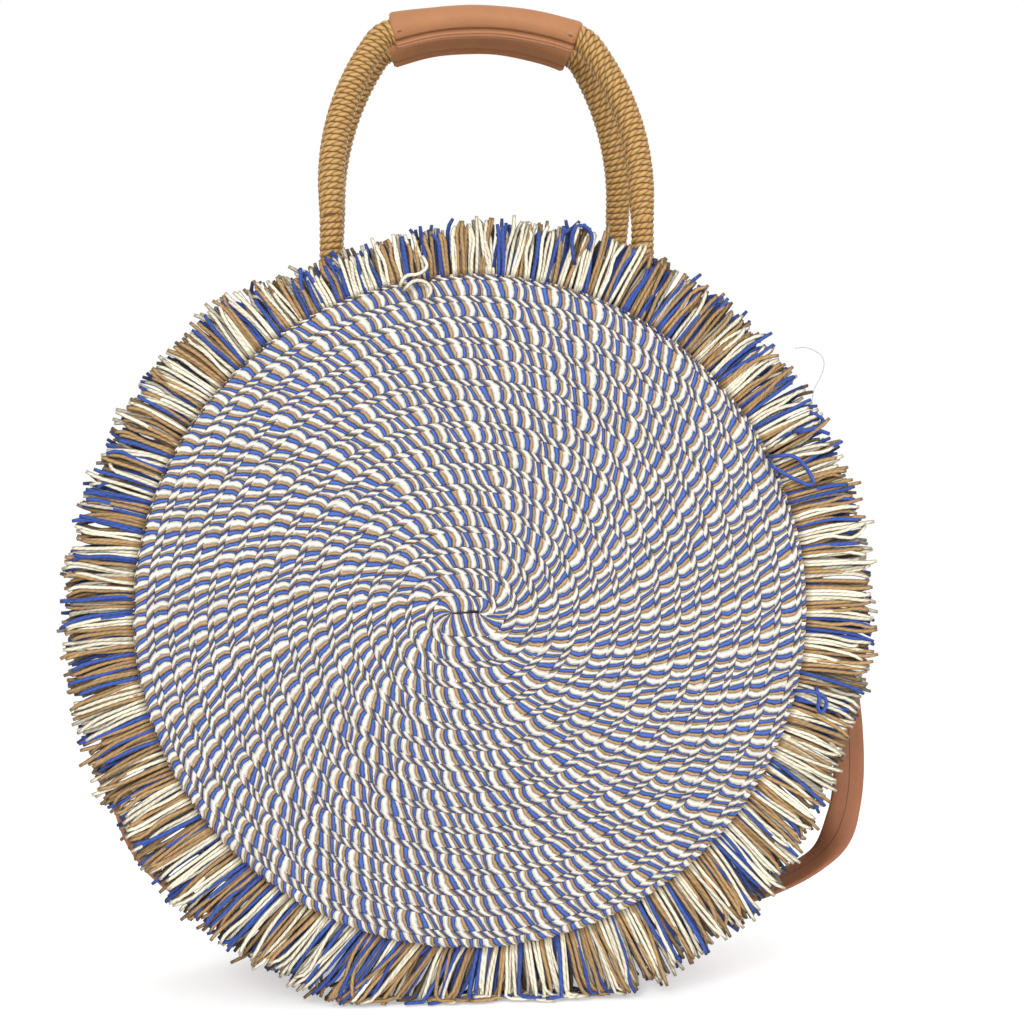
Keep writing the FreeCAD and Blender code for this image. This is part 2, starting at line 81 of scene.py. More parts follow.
def skin(name, grid, uv):
    """Closed skins. grid holds bands, rings, sides and x, y, z: the sides of a ring join round, each ring joins the
    next one of its band, and a flat face shuts a band's first and last ring. uv has one column more than grid has
    sides, so that the seam has both of its values. Faces are turned to point outwards by the sign of the volume, the
    sum of corner . (edge x edge)."""
    grid, uv = np.asarray(grid, float), np.asarray(uv, float)
    bands, rings, sides = grid.shape[:3]
    number = np.arange(bands * rings * sides).reshape(bands, rings, sides)
    after = np.roll(number, -1, axis=2)
    quads = np.stack([number[:, :-1], after[:, :-1], after[:, 1:], number[:, 1:]], axis=-1).reshape(-1, 4)
    quad_uv = np.stack([uv[:, :-1, :-1], uv[:, :-1, 1:], uv[:, 1:, 1:], uv[:, 1:, :-1]], axis=-2).reshape(-1, 4, 2)
    caps = np.concatenate([number[:, 0, ::-1], number[:, -1]])
    cap_uv = np.concatenate([uv[:, 0, :-1][:, ::-1], uv[:, -1, :-1]])
    points = grid.reshape(-1, 3)
    a, b, c, d = (points[quads[:, i]] for i in range(4))
    volume = np.sum(a * np.cross(b, c)) + np.sum(a * np.cross(c, d))
    if volume < 0:
        quads, quad_uv, caps, cap_uv = quads[:, ::-1], quad_uv[:, ::-1], caps[:, ::-1], cap_uv[:, ::-1]
    corners = np.concatenate([quads.ravel(), caps.ravel()])
    sizes = np.concatenate([np.full(len(quads), 4), np.full(len(caps), sides)])
    return lay_mesh(name, points, corners, sizes, np.concatenate([quad_uv.reshape(-1, 2), cap_uv.reshape(-1, 2)]))


def dress(piece, material, slot, body=None, *nodes):
    """Gives a piece its material, the body that it rides on and the nodes that it replaces. The slot is not used."""
    piece.data.materials.append(material)
    if body:
        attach(piece, body)
    if nodes:
        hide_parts(*nodes)
    return piece


def as_points(*parts):
    """Points, or UV pairs, from their parts spread to one shape."""
    return np.stack(np.broadcast_arrays(*parts), axis=-1)


def tint(code):
    """The linear colour of a six-figure screen colour."""
    part = np.array([int(code[i:i + 2], 16) for i in (0, 2, 4)]) / 255
    part = np.where(part <= 0.04045, part / 12.92, ((part + 0.055) / 1.055) ** 2.4)
    return (*part.tolist(), 1.0)


def feed(made, inputs):
    """Sets inputs of a node: each is a value, or the output socket that feeds it."""
    for key, value in inputs.items():
        if isinstance(value, bpy.types.NodeSocket):
            made.id_data.links.new(value, made.inputs[key])
        else:
            made.inputs[key].default_value = value


def node(tree, kind, inputs=None, **settings):
    """A new shader node with its settings and inputs."""
    made = tree.nodes.new(kind)
    for name, value in settings.items():
        setattr(made, name, value)
    feed(made, inputs or {})
    return made


def tree_of(*values):
    """The node tree of the first of some values that is a socket."""
    return next(value.id_data for value in values if isinstance(value, bpy.types.NodeSocket))


def calc(operation, *values):
    """The output of a Math node."""
    return node(tree_of(*values), "ShaderNodeMath", dict(enumerate(values)), operation=operation).outputs[0]


def times(product, *factors):
    """The product of all the values."""
    for factor in factors:
        product = calc("MULTIPLY", product, factor)
    return product


def scaled(value, factor, offset):
    """value * factor + offset."""
    return calc("MULTIPLY_ADD", value, factor, offset)


def mixed(mode, share, first, second):
    """The colour output of a Mix node."""
    inputs = {0: share, 6: first, 7: second}
    return node(tree_of(*inputs.values()), "ShaderNodeMix", inputs, data_type="RGBA", blend_type=mode).outputs[2]


def shaded(colour, shade):
    """A colour multiplied by a number."""
    grey = node(tree_of(shade), "ShaderNodeCombineColor", {0: shade, 1: shade, 2: shade}).outputs[0]
    return mixed("MULTIPLY", 1.0, colour, grey)


def ramp(share, stops):
    """The colour output of a ramp with stops of (place, colour)."""
    made = node(tree_of(share), "ShaderNodeValToRGB", {0: share})
    while len(made.color_ramp.elements) < len(stops):
        made.color_ramp.elements.new(1.0)
    for element, (place, colour) in zip(made.color_ramp.elements, stops):
        element.position, element.color = place, colour
    return made.outputs[0]


def grey_ramp(share, stops):
    """A ramp of greys with stops of (place, level)."""
    return ramp(share, [(place, (level, level, level, 1)) for place, level in stops])


def noise(tree, scale, detail, roughness=0.5, place=None):
    """The value of a noise, on Object coordinates unless a place is given."""
    place = place or node(tree, "ShaderNodeTexCoord").outputs["Object"]
    inputs = {"Vector": place, "Scale": scale, "Detail": detail, "Roughness": roughness}
    return node(tree, "ShaderNodeTexNoise", inputs).outputs["Fac"]


def own_number(count):
    """A random number from 0 to 1 for the whole part of a count."""
    inputs = {"W": calc("FLOOR", count)}
    return node(tree_of(count), "ShaderNodeTexWhiteNoise", inputs, noise_dimensions="1D").outputs["Value"]


def emboss(height, strength, distance):
    """The normal that a bump of this height gives."""
    inputs = {"Height": height, "Strength": strength, "Distance": distance}
    return node(tree_of(height), "ShaderNodeBump", inputs).outputs[0]


def new_material(name, **sockets):
    """A new material, its tree and its Principled shader, with plain values set on the shader."""
    material = bpy.data.materials.new(name)
    material.use_nodes = True
    shader = material.node_tree.nodes["Principled BSDF"]
    feed(shader, {key.replace("_", " "): value for key, value in sockets.items()})
    return material, material.node_tree, shader


def split_uv(tree):
    """The two numbers of the piece's UV map."""
    parts = node(tree, "ShaderNodeSeparateXYZ", {0: node(tree, "ShaderNodeUVMap", uv_map="UVMap").outputs[0]})
    return parts.outputs[0], parts.outputs[1]


def open_group(name, inputs, outputs):
    """A shader node group with named numbers as its sockets, its input node and its output node."""
    group = bpy.data.node_groups.new(name, "ShaderNodeTree")
    for way, words in (("INPUT", inputs), ("OUTPUT", outputs)):
        for word in words:
            group.interface.new_socket(word, in_out=way, socket_type="NodeSocketFloat")
    return group, node(group, "NodeGroupInput"), node(group, "NodeGroupOutput")


def make_fibre_group():
    """Cotton fibre: fine streaks along a yarn. The inputs are a number across the yarn and one along it. Shade is
    about 1 with streaks darker and lighter, and Height is the same streaks for a bump."""
    group, entry, leave = open_group("cotton fibre", ["Across", "Along"], ["Shade", "Height"])
    place = node(group, "ShaderNodeCombineXYZ", {0: entry.outputs["Across"], 1: entry.outputs["Along"]})
    streak = noise(group, 1.0, 3.0, 0.65, place.outputs[0])
    feed(leave, {"Shade": scaled(streak, 0.7, 0.65), "Height": streak})
    return group


fibre_group = make_fibre_group()


def fibre(across, along):
    """The Shade and the Height of cotton fibre."""
    made = node(tree_of(across), "ShaderNodeGroup", {"Across": across, "Along": along}, node_tree=fibre_group)
    return made.outputs["Shade"], made.outputs["Height"]


# The fourth colour is painted shade: the dark blue gap at the blue yarn's edges, where it meets the next yarn.
cream, tan, blue, blue_gap_shade = tint("F5EFE2"), tint("C4A073"), tint("4A6DC2"), tint("27357C")
tan_from, blue_from = 0.42, 0.66
stroke_length, row_pitch, braid_turn = 0.0070, 0.01235, 0.69


def make_braid_finish():
    """Braid colour from its UV map: u counts strokes along the row, v goes across the row. Within a stroke come the
    cream, the tan and the blue yarn. Each is round, and painted shade darkens it towards the line where it meets the
    next one; painted shadow lies on the tan and the blue where they dip under, at the row's edges, at the turn and
    more lightly across the part after the turn."""
    material, tree, shader = new_material("braided cotton", Roughness=0.85, Sheen_Weight=0.15, Sheen_Roughness=0.5)
    u, v = split_uv(tree)
    phase = calc("ADD", u, scaled(noise(tree, 340.0, 1.0), 0.20, -0.10))
    share = calc("FRACT", phase)
    colour = ramp(share, [
        (0.0, cream), (tan_from - 0.015, cream), (tan_from + 0.015, tan), (blue_from - 0.01, tan),
        (blue_from + 0.01, blue_gap_shade), (blue_from + 0.09, blue), (0.92, blue), (0.985, blue_gap_shade), (1.0, cream),
    ])
    # crest is each yarn's round profile: the bump's height, and painted shade that darkens the yarn towards its edges.
    crest = grey_ramp(share, [
        stop for low, high in ((0.0, tan_from), (tan_from, blue_from), (blue_from, 1.0))
        for stop in ((low + 0.004, 0.0), (low + 0.3 * (high - low), 0.85), ((low + high) / 2, 1.0),
                     (high - 0.3 * (high - low), 0.85), (high - 0.004, 0.0))
    ])
    # dip and under place painted shadow on the tan and the blue where they pass under, at the row's edges, at the turn
    # and more lightly after it.
    dip = grey_ramp(v, [(0.0, 0.6), (0.04, 0.0), (braid_turn - 0.05, 0.0), (braid_turn, 1.0), (braid_turn + 0.05, 0.35),
                        (0.96, 0.35), (1.0, 0.7)])
    under = grey_ramp(share, [(0.0, 0.2), (0.08, 0.0), (tan_from - 0.03, 0.0), (tan_from + 0.08, 0.5), (blue_from, 0.6),
                              (0.95, 0.66), (1.0, 0.3)])
    fibre_shade, fibre_height = fibre(times(u, 26.0), times(v, 5.0))
    shade = times(fibre_shade, scaled(own_number(times(phase, 3.0)), 0.16, 0.93), scaled(crest, 0.48, 0.55),
                  calc("SUBTRACT", 1.0, times(dip, under)))
    height = scaled(fibre_height, 0.25, crest)
    feed(shader, {"Base Color": shaded(colour, shade), "Normal": emboss(height, 0.8, 0.0012)})
    return material


braid_finish = make_braid_finish()
braid_across = np.array([0.0, 0.012, 0.11, 0.27, 0.46, 0.675, 0.705, 0.84, 0.988, 1.0])
braid_cuts = np.array([0.0, tan_from / 2, tan_from, (tan_from + blue_from) / 2, blue_from, (blue_from + 1) / 2])
edge_drop = 0.0001 * ((braid_across < 0.001) | (braid_across > 0.999))


def braid_strokes(count, random):
    """The strokes of a row as a grid of rings by places across: the number of each ring, its place along the row in
    strokes, and the height of the face. The lines between strokes lean forwards by turns of four: two lean far, two
    stand nearly square to the row and bow back, so a stroke widens or narrows on its way out. After the turn all of
    them step back, lean forwards together, and the cream is wider, by a power of its share. Each yarn is a rounded
    ridge, and each arm of a stroke is arched."""
    number = np.arange(count + 1)
    lean = np.array([0.36, 0.76, 0.72, 0.28])[number % 4] + random.normal(0, 0.07, count + 1)
    bow = np.array([0.14, 0.0, 0.02, 0.17])[number % 4] + random.normal(0, 0.03, count + 1)
    spread = random.normal(0, 0.07, count + 1)
    on_main = braid_across < braid_turn
    before = np.clip(braid_across / braid_turn, 0, 1)
    after = np.clip((braid_across - braid_turn) / (1 - braid_turn), 0, 1)
    main = lean[:, None] * before - bow[:, None] * 4 * before * (1 - before)
    line = np.where(on_main, main, 0.45 * lean[:, None] - 0.10 + 0.74 * after)
    line = (number + spread)[:, None] + line
    left, right = line[:-1, None], line[1:, None]
    place = left + (right - left) * braid_cuts[:, None] ** np.where(on_main, 1.0, 0.62)
    strokes = number[:-1, None] + braid_cuts
    ridge = np.array([0.0, 0.0011, 0.0, 0.0009, 0.0, 0.0008])
    arm = np.where(on_main, before, after)
    arch = np.clip(4 * arm * (1 - arm), 0, 1) ** 0.5 * np.where(on_main, 1.0, 0.6)
    height = 0.0008 * arch + ridge[:, None] * (0.5 + 0.5 * arch)
    height = height + random.normal(0, 0.00016, count)[:, None, None] * arch
    wide = len(braid_across)
    return strokes.ravel(), place.reshape(-1, wide), height.reshape(-1, wide)


def braid_uv(strokes):
    """UV of a row: the stroke and the place across. The added last column shuts the ring behind the face."""
    uv = as_points(strokes[:, None], braid_across)
    return np.concatenate([uv, uv[:, -1:]], axis=1)


def disc_braid(name, side, seed, stands_for):
    """A spiral band about a short line, since the braid starts doubled back on itself. A point is a point of that line
    plus radius * direction, and the point of the line goes from end to end as tanh(6 cos angle). The row's middle has
    radius start + pitch * turns; its length is summed in fine steps, and the angle of a stroke is read back from it.
    The line shrinks and moves to the disc's middle as the radius grows. The first turn has no inner edge: its strokes
    go to the line, or stop a little short of it. The last row and a half turn away over the rim: the radius follows a
    sine there, and the face falls back."""
    random = np.random.default_rng(seed)
    rim, start, spread_rim, flat = 0.2000, 0.0048, 0.2030, 0.1880
    line_half, line_left = 0.0080, 0.0065
    seat, dome, rim_fall, start_fall = 0.0628, 0.0035, 0.0014, 0.0006

    def on_disc(radius, angle):
        drift = 1 - radius / spread_rim
        on_line = (line_half * np.tanh(6 * np.cos(angle)) - line_left) * drift
        return on_line + radius * np.cos(angle), radius * np.sin(angle)

    fine = np.linspace(-1.0, 2 * np.pi * ((spread_rim - start) / row_pitch + 0.5), 40000)
    x, z = on_disc(start + row_pitch * fine / (2 * np.pi), fine)
    length = np.concatenate([[0], np.cumsum(np.hypot(np.diff(x), np.diff(z)))])
    strokes, place, height = braid_strokes(int(length[-1] / stroke_length) - 1, random)
    angle = np.interp(place * stroke_length, length, fine)
    middle = start + row_pitch * angle / (2 * np.pi)
    joined = np.clip((angle / (2 * np.pi) - 0.97) / 0.03, 0, 1)
    pulled = random.uniform(0, 0.0014, len(strokes) // len(braid_cuts))[strokes.astype(int)][:, None]
    inner = np.maximum(middle - row_pitch / 2, 0) * joined + pulled * (1 - joined)
    radius = inner + (middle + row_pitch / 2 - inner) * braid_across
    x, z = on_disc(np.clip(radius, 0.0002, spread_rim - 0.0004 * (1 - braid_across)), angle)
    away = np.hypot(x, z) + 1e-9
    turned = np.clip((away - flat) / (spread_rim - flat), 0, 1) * np.pi / 2
    radius = np.minimum(away, flat) + (rim - flat) * np.sin(turned)
    x, z = x * radius / away, z * radius / away
    depth = seat + dome * (1 - (radius / rim) ** 2) - rim_fall * (1 - np.cos(turned)) + height - edge_drop
    depth = depth - start_fall * np.clip(0.4 - angle, 0, 1)
    grid = as_points(-side * x, side * depth, disc_height + z)
    dress(skin(name, grid[None], braid_uv(strokes)[None]), braid_finish, "braid", "bag", stands_for)


disc_braid("front_disc_braid", -1, 11, "front_panel")
disc_braid("back_disc_braid", 1, 12, "back_panel")

# Gusset
# The same braid in ten straight rows, bent round between the two discs and sewn to them. It stops short of the top
# on both sides, where the mouth is.
mouth_half_angle = math.radians(42)
gusset_start, gusset_end = math.pi / 2 + mouth_half_angle, 5 * math.pi / 2 - mouth_half_angle


def gusset_braid(name, seed, stands_for):
    """Rows side by side along the bag's depth, each along an arc about the discs' axis."""
    random = np.random.default_rng(seed)
    rows, half_depth, outer, sunk = 10, 0.0597, 0.1990, 0.0026
    pitch = 2 * half_depth / rows
    count = int((gusset_end - gusset_start) * outer / stroke_length) - 1
    grids, uvs = [], []
    for row in range(rows):
        strokes, place, height = braid_strokes(count, random)
        angle = np.clip(gusset_start + place * stroke_length / outer, gusset_start, gusset_end)
        radius = outer - sunk + height - edge_drop
        depth = -half_depth + pitch * (row + braid_across)
        grids.append(as_points(radius * np.cos(angle), depth, disc_height + radius * np.sin(angle)))
        uvs.append(braid_uv(strokes + count * row))
    dress(skin(name, np.stack(grids), np.stack(uvs)), braid_finish, "braid", "bag", stands_for)


gusset_braid("gusset_braid", 13, "gusset")

# Fringes
# Cut lengths of the braid's three yarns, sewn in bunches under the rim of each disc in three layers. They stand out
# all round, droop a little at the sides, and crumple where the bag rests on them.
yarn_radius = 0.00126
fringe_reach = np.array([
    (0, 0.2405), (30, 0.2392), (45, 0.2388), (75, 0.2364), (90, 0.2280), (105, 0.2245), (120, 0.2292), (135, 0.2370),
    (150, 0.2359), (180, 0.2380), (198, 0.2382), (213, 0.2382), (226, 0.2420), (240, 0.2395), (270, 0.2440),
    (300, 0.2446), (315, 0.2455), (322, 0.2412), (330, 0.2375), (345, 0.2372), (360, 0.2405),
]).T
fringe_lean = np.array([
    (0, 0.03), (40, 0.0), (195, 0.0), (218, -0.15), (240, -0.28), (255, -0.46), (264, -0.52), (270, -0.32),
    (276, -0.12), (290, 0.02), (305, -0.06), (325, -0.14), (340, 0.08), (360, 0.03),
]).T


def arches(value):
    """The size of sin(pi * value): a row of arches from one whole number to the next."""
    return calc("ABSOLUTE", calc("SINE", times(value, math.pi)))


def make_yarn_finish(name, colour, end_shade_colour):
    """Plied cotton yarn. UV u goes once round the strand and v is the strand's number plus its share along, so the
    whole part of v gives each strand its own shade. Two plies wind round each other as slanting ridges, with painted
    shade in the grooves between them. Painted shade darkens the sides that face the next strand. The tens of u are the
    strand's layer, and painted shadow darkens the layers behind. At the root, under the rim, the colour turns to the
    second colour, a painted shadow, and the cut tip turns half way to it, partly painted shade."""
    material, tree, shader = new_material(name, Roughness=0.85, Sheen_Weight=0.15, Sheen_Roughness=0.5)
    u, v = split_uv(tree)
    along = calc("FRACT", v)
    ply = calc("ADD", times(u, 2.0), times(along, 9.0))
    ridge = arches(ply)
    fibre_shade, fibre_height = fibre(times(ply, 6.0), times(v, 9.0))
    # beside is painted shade on the sides that face the next strand, and layer gives painted shadow to the layers
    # behind.
    beside = calc("POWER", arches(times(u, 2.0)), 3.0)
    layer = calc("ROUND", times(calc("SUBTRACT", u, 0.5), 0.1))
    shade = times(fibre_shade, scaled(own_number(v), 0.3, 0.82), scaled(ridge, 0.22, 0.82), scaled(beside, -0.80, 1.12),
                  scaled(layer, -0.37, 1.0))
    # root is painted shadow: the strand turns to the second colour at its root under the rim and half way at its cut
    # tip.
    root = grey_ramp(along, [(0.0, 1.0), (0.16, 0.0), (0.93, 0.0), (1.0, 0.5)])
    height = scaled(ridge, 0.8, times(fibre_height, 0.3))
    feed(shader, {"Base Color": mixed("MIX", root, shaded(colour, shade), end_shade_colour), "Normal": emboss(height, 0.7, 0.0005)})
    return material


# Each yarn's second colour is its painted shadow, at the root under the rim and at the tip.
yarn_finishes = {
    "cream": make_yarn_finish("cream yarn", tint("F3E9D0"), tint("7A6847")),
    "tan": make_yarn_finish("tan yarn", tint("B28E5F"), tint("4A3218")),
    "blue": make_yarn_finish("blue yarn", tint("3453A8"), tint("141C4E")),
}


def unit(vectors):
    """Vectors brought to length 1."""
    return vectors / np.linalg.norm(vectors, axis=-1, keepdims=True)


def strand_skin(name, line, radius, layer, sides=5):
    """Round strands along lines. line holds strands, rings and x, y, z. A ring stands square to the line's direction
    there, its first axis leaning to the bag's depth, or to its width where the line runs along the depth. radius is
    one value, or one for each ring, and the strand's layer is kept in UV u as tens."""
    way = unit(np.gradient(line, axis=1))
    toward = np.where(np.abs(way[..., 1:2]) < 0.9, [0.0, 1.0, 0.0], [1.0, 0.0, 0.0])
    depth = unit(toward - way * np.sum(way * toward, axis=-1, keepdims=True))
    beside = np.cross(way, depth)
    strands, rings = line.shape[:2]
    turn = 2 * np.pi * np.arange(sides) / sides
    ring = np.cos(turn)[:, None] * depth[:, :, None] + np.sin(turn)[:, None] * beside[:, :, None]
    grid = line[:, :, None] + ring * np.broadcast_to(radius, (strands, rings))[..., None, None]
    u = np.linspace(0, 1, sides + 1) + 10.0 * np.broadcast_to(layer, strands)[:, None, None]
    v = np.arange(strands)[:, None, None] + np.linspace(0.001, 0.999, rings)[:, None]
    return skin(name, grid, as_points(u, v))


def fringe_lines(side, seed):
    """Centre lines of one fringe's strands, and the colour and the layer of each. Bunches of a few strands share a
    colour, a lean and a length. A line goes out along the radius to a reach given by angle in degrees, with a lean that
    is also given by angle and grows along it, a slow wave, a hooked tip, a droop by its own weight, and a spread in
    depth. Leans and hooks are stronger where the bag presses on it; what would be below the floor is pushed up and
    aside."""
    random = np.random.default_rng(seed)
    rings = np.linspace(0, 1, 9)
    root, pressed_at, pressed_half, droop = 0.1978, 264, 34, 0.0040
    lines, colours, layers = [], [], []
    for layer, count in enumerate((660, 630, 610)):
        kind = np.cumsum(random.integers(1, 3, count)) % 3
        strands = random.integers(np.array([2, 2, 1])[kind], np.array([5, 4, 3])[kind])
        bunch = np.repeat(np.arange(count), strands)[:count]
        angle = ((np.arange(count) + random.normal(0, 0.35, count)) * 2 * np.pi / count)[:, None]

        def varied(shared, own):
            """One number for each strand: a part that its bunch shares and a part of its own."""
            return (random.normal(0, shared, count)[bunch] + random.normal(0, own, count))[:, None]

        degrees = np.degrees(angle) % 360
        pressed = np.clip(1 - np.abs(degrees - pressed_at) / pressed_half, 0, 1)
        lean = varied(0.05, 0.022) + np.interp(degrees, *fringe_lean)
        lean = lean + varied(0.12 if layer == 0 else 0.05, 0.03) * pressed
        curl = varied(0.05, 0.025) + varied(0.18, 0.06) * pressed
        hook = varied(0.0, 1.0) * (0.15 + 0.15 * pressed)
        swing = varied(0.0, 0.0009)
        wave = swing * np.sin(2 * np.pi * (rings * random.uniform(0.7, 1.6, (count, 1)) + random.random((count, 1))))
        reach = np.interp(degrees, *fringe_reach) + varied(0.0020, 0.0018) - root
        depth_root = 0.0618 - 0.0018 * layer + random.normal(0, 0.0004, (count, 1))
        depth_tip = 0.0668 - 0.0040 * layer + random.normal(0, 0.0016, (count, 1))
        bend = np.clip(rings - 0.72, 0, 1) ** 2 * 3.2
        out = root + reach * (rings - bend * np.abs(hook) * 0.6)
        aside = reach * (lean * rings + curl * rings ** 2 + hook * bend) + wave * rings
        depth = depth_root + (depth_tip - depth_root) * rings + varied(0.0, 0.0008) * np.sin(5 * rings)
        x = out * np.cos(angle) - aside * np.sin(angle)
        z = disc_height + out * np.sin(angle) + aside * np.cos(angle)
        z = z - droop * rings ** 2 * np.abs(np.cos(angle))
        low = np.maximum(0.0016 + 0.0030 * random.random((count, 1)) - z, 0)
        x = x + random.choice([-1.0, 1.0], count)[bunch][:, None] * low * 0.8
        lines.append(as_points(x, side * depth, z + low))
        colours.append(kind[bunch])
        layers.append(np.full(count, layer))
    return np.concatenate(lines), np.concatenate(colours), np.concatenate(layers)


def lay_fringe(word, side, seed):
    """Three pieces, one for each yarn, that together stand for one fringe."""
    lines, colours, layers = fringe_lines(side, seed)
    taper = np.array([0.9, 1, 1, 1, 1.02, 1.04, 1.05, 1.02, 0.8]) * yarn_radius
    for which, (colour, yarn) in enumerate(yarn_finishes.items()):
        own = colours == which
        strands = strand_skin(f"{word}_fringe_{colour}", lines[own], taper, layers[own])
        dress(strands, yarn, "yarn", "bag", f"{word}_fringe")


lay_fringe("front", -1, 21)
lay_fringe("back", 1, 22)


def smooth_line(route):
    """The points of the smooth line that has a route of x, y, z as its control points."""
    curve = bpy.data.curves.new("smooth line", "CURVE")
    curve.dimensions, curve.resolution_u = "3D", 16
    spline = curve.splines.new("NURBS")
    spline.points.add(len(route) - 1)
    spline.points.foreach_set("co", [value for point in route for value in (*point, 1.0)])
    spline.order_u, spline.use_endpoint_u = 3, True
    holder = bpy.data.objects.new("smooth line", curve)
    mesh = bpy.data.meshes.new_from_object(holder)
    points = np.empty(len(mesh.vertices) * 3)
    mesh.vertices.foreach_get("co", points)
    bpy.data.objects.remove(holder)
    bpy.data.curves.remove(curve)
    bpy.data.meshes.remove(mesh)
    return points.reshape(-1, 3)


def run_length(line):
    """The length of a line up to each of its points."""
    return np.concatenate([[0], np.cumsum(np.linalg.norm(np.diff(line, axis=0), axis=1))])


def read_line(place, length, line):
    """The line's x, y, z at places, which are lengths along it."""
    return np.stack([np.interp(place, length, line[:, i]) for i in range(3)], axis=-1)


def stray_yarn(name, routes, radius, yarn):
    """A few long ends that have sprung out of the front fringe. Each route is in millimetres across and up, and its
    smooth line is read at 41 equal lengths."""
    lines = []
    for route in routes:
        line = smooth_line([(x / 1000, -0.0696 + 0.0012 * (i % 2), z / 1000) for i, (x, z) in enumerate(route)])
        length = run_length(line)
        lines.append(read_line(np.linspace(0, length[-1], 41), length, line))
    dress(strand_skin(name, np.stack(lines), radius, 0), yarn, "yarn", "bag", "front_fringe")


stray_yarn("front_stray_blue", [
    [(192, 338), (200, 341), (206, 342), (209, 346), (205, 349), (200, 351)],
    [(189, 339), (200, 341), (206, 340), (212, 338)],
    [(173, 324), (182, 325), (191, 325), (199, 317), (203, 308), (199, 307), (190, 311), (181, 316), (175, 320)],
    [(190, 184), (199, 184), (207, 182), (212, 177), (208, 170), (205, 173), (207, 180), (204, 186)],
    [(58, 437), (56, 449), (57, 458), (62, 461), (67, 458), (69, 452), (66, 446)],
], yarn_radius, yarn_finishes["blue"])
stray_yarn("front_stray_cream", [
    [(-45, 422), (-44, 427), (-40, 430), (-35, 430), (-31, 432), (-28, 436), (-32, 441)],
    [(-43, 420), (-39, 426), (-33, 427), (-28, 425), (-26, 420), (-29, 417)],
], yarn_radius, yarn_finishes["cream"])
# The loose thread's second colour is painted shade at its ends.
stray_yarn("front_stray_thread", [
    [(201, 357), (202, 364), (206, 371), (209, 378), (208, 384), (203, 388), (196, 390), (191, 389)],
], 0.00025, make_yarn_finish("loose thread", tint("DAD6D0"), tint("B8B4AE")))

# Rope handles
# A stiff rope core wound all along with a two-ply twisted paper cord. Each end goes down inside the mouth and is
# sewn in there.
rope_radius, handle_span, handle_lean = 0.0070, 0.0935, math.radians(14)
handle_middle = {-1: 0.0085, 1: 0.0080}
pivot_depth, pivot_height, sewn_end = 0.0487, 0.4660, -0.1320
leg, shoulder, bend = 0.0240, 0.1660, 0.0160
shoulder_turn, grip_turn = math.radians(33.5), math.radians(69)
bend_x = handle_span - shoulder + (shoulder - bend) * math.cos(shoulder_turn)
bend_z = leg + (shoulder - bend) * math.sin(shoulder_turn)
grip_arc = (bend_x + bend * math.cos(grip_turn)) / math.cos(grip_turn)
grip_z = bend_z + (bend - grip_arc) * math.sin(grip_turn)
end_shoulder = leg + shoulder * shoulder_turn
end_bend = end_shoulder + bend * (grip_turn - shoulder_turn)
half_grip = grip_arc * (math.pi / 2 - grip_turn)
half_rope = end_bend + half_grip
both_sides = (("front", -1), ("back", 1))


def handle_path(place):
    """Places across and up in a handle's own plane, and the way's turn from upright, for lengths from the pivot up to
    half the rope: a straight leg, a wide shoulder arc, a tight bend and the grip's arc, each starting where and as the
    last one ends."""
    parts = [place < leg, place < end_shoulder, place < end_bend]
    turn = np.select(parts, [0.0, (place - leg) / shoulder, shoulder_turn + (place - end_shoulder) / bend],
                     grip_turn + (place - end_bend) / grip_arc)
    x = np.select(parts, [handle_span, handle_span - shoulder + shoulder * np.cos(turn), bend_x + bend * np.cos(turn)],
                  grip_arc * np.cos(turn))
    z = np.select(parts, [place, leg + shoulder * np.sin(turn), bend_z + bend * np.sin(turn)],
                  grip_z + grip_arc * np.sin(turn))
    return x, z, turn


def on_handle(side, across, up, away, lean=handle_lean):
    """Points of a handle from places in its own plane and a height off it, leaned in towards the other handle."""
    return as_points(
        handle_middle[side] + across,
        side * (pivot_depth - up * np.sin(lean) + away * np.cos(lean)),
        pivot_height + up * np.cos(lean) + away * np.sin(lean),
    )


def make_cord_finish():
    """Twisted paper cord wound on the rope. UV u counts turns of the winding along the rope, less the turn round it,
    and v runs along the cord in plies. Its colour is painted light: pale slanting strokes where the plies crest, and
    painted shade in the gaps between the turns."""
    material, tree, shader = new_material("wound paper cord", Roughness=0.62)
    u, v = split_uv(tree)
    wobble = noise(tree, 160.0, 2.0)
    turn = calc("FRACT", u)
    stroke = arches(calc("ADD", calc("ADD", v, turn), scaled(wobble, 0.8, -0.4)))
    round_cord = calc("SINE", times(turn, math.pi))
    fibre_shade, fibre_height = fibre(times(u, 9.0), times(v, 1.2))
    # light is painted light and shade: the cord's roundness times the ply strokes, from painted shade in the gaps to a
    # painted highlight on the crests.
    light = times(calc("POWER", round_cord, 0.5), scaled(calc("POWER", stroke, 0.8), 0.75, 0.25))
    colour = ramp(light, [(0.0, tint("452C12")), (0.3, tint("815E2C")), (0.6, tint("B08548")), (1.0, tint("C79F62"))])
    shade = times(fibre_shade, scaled(wobble, 0.3, 0.88))
    height = scaled(stroke, 0.6, times(fibre_height, 0.3))
    feed(shader, {"Base Color": shaded(colour, shade), "Normal": emboss(height, 0.8, 0.0006)})
    return material


cord_finish = make_cord_finish()
cord_pitch, ply_length, groove = 0.0039, 0.0046, 0.0010
thicker_above, thicker_over, plies_a_turn = 0.0011, 0.02, 7.37


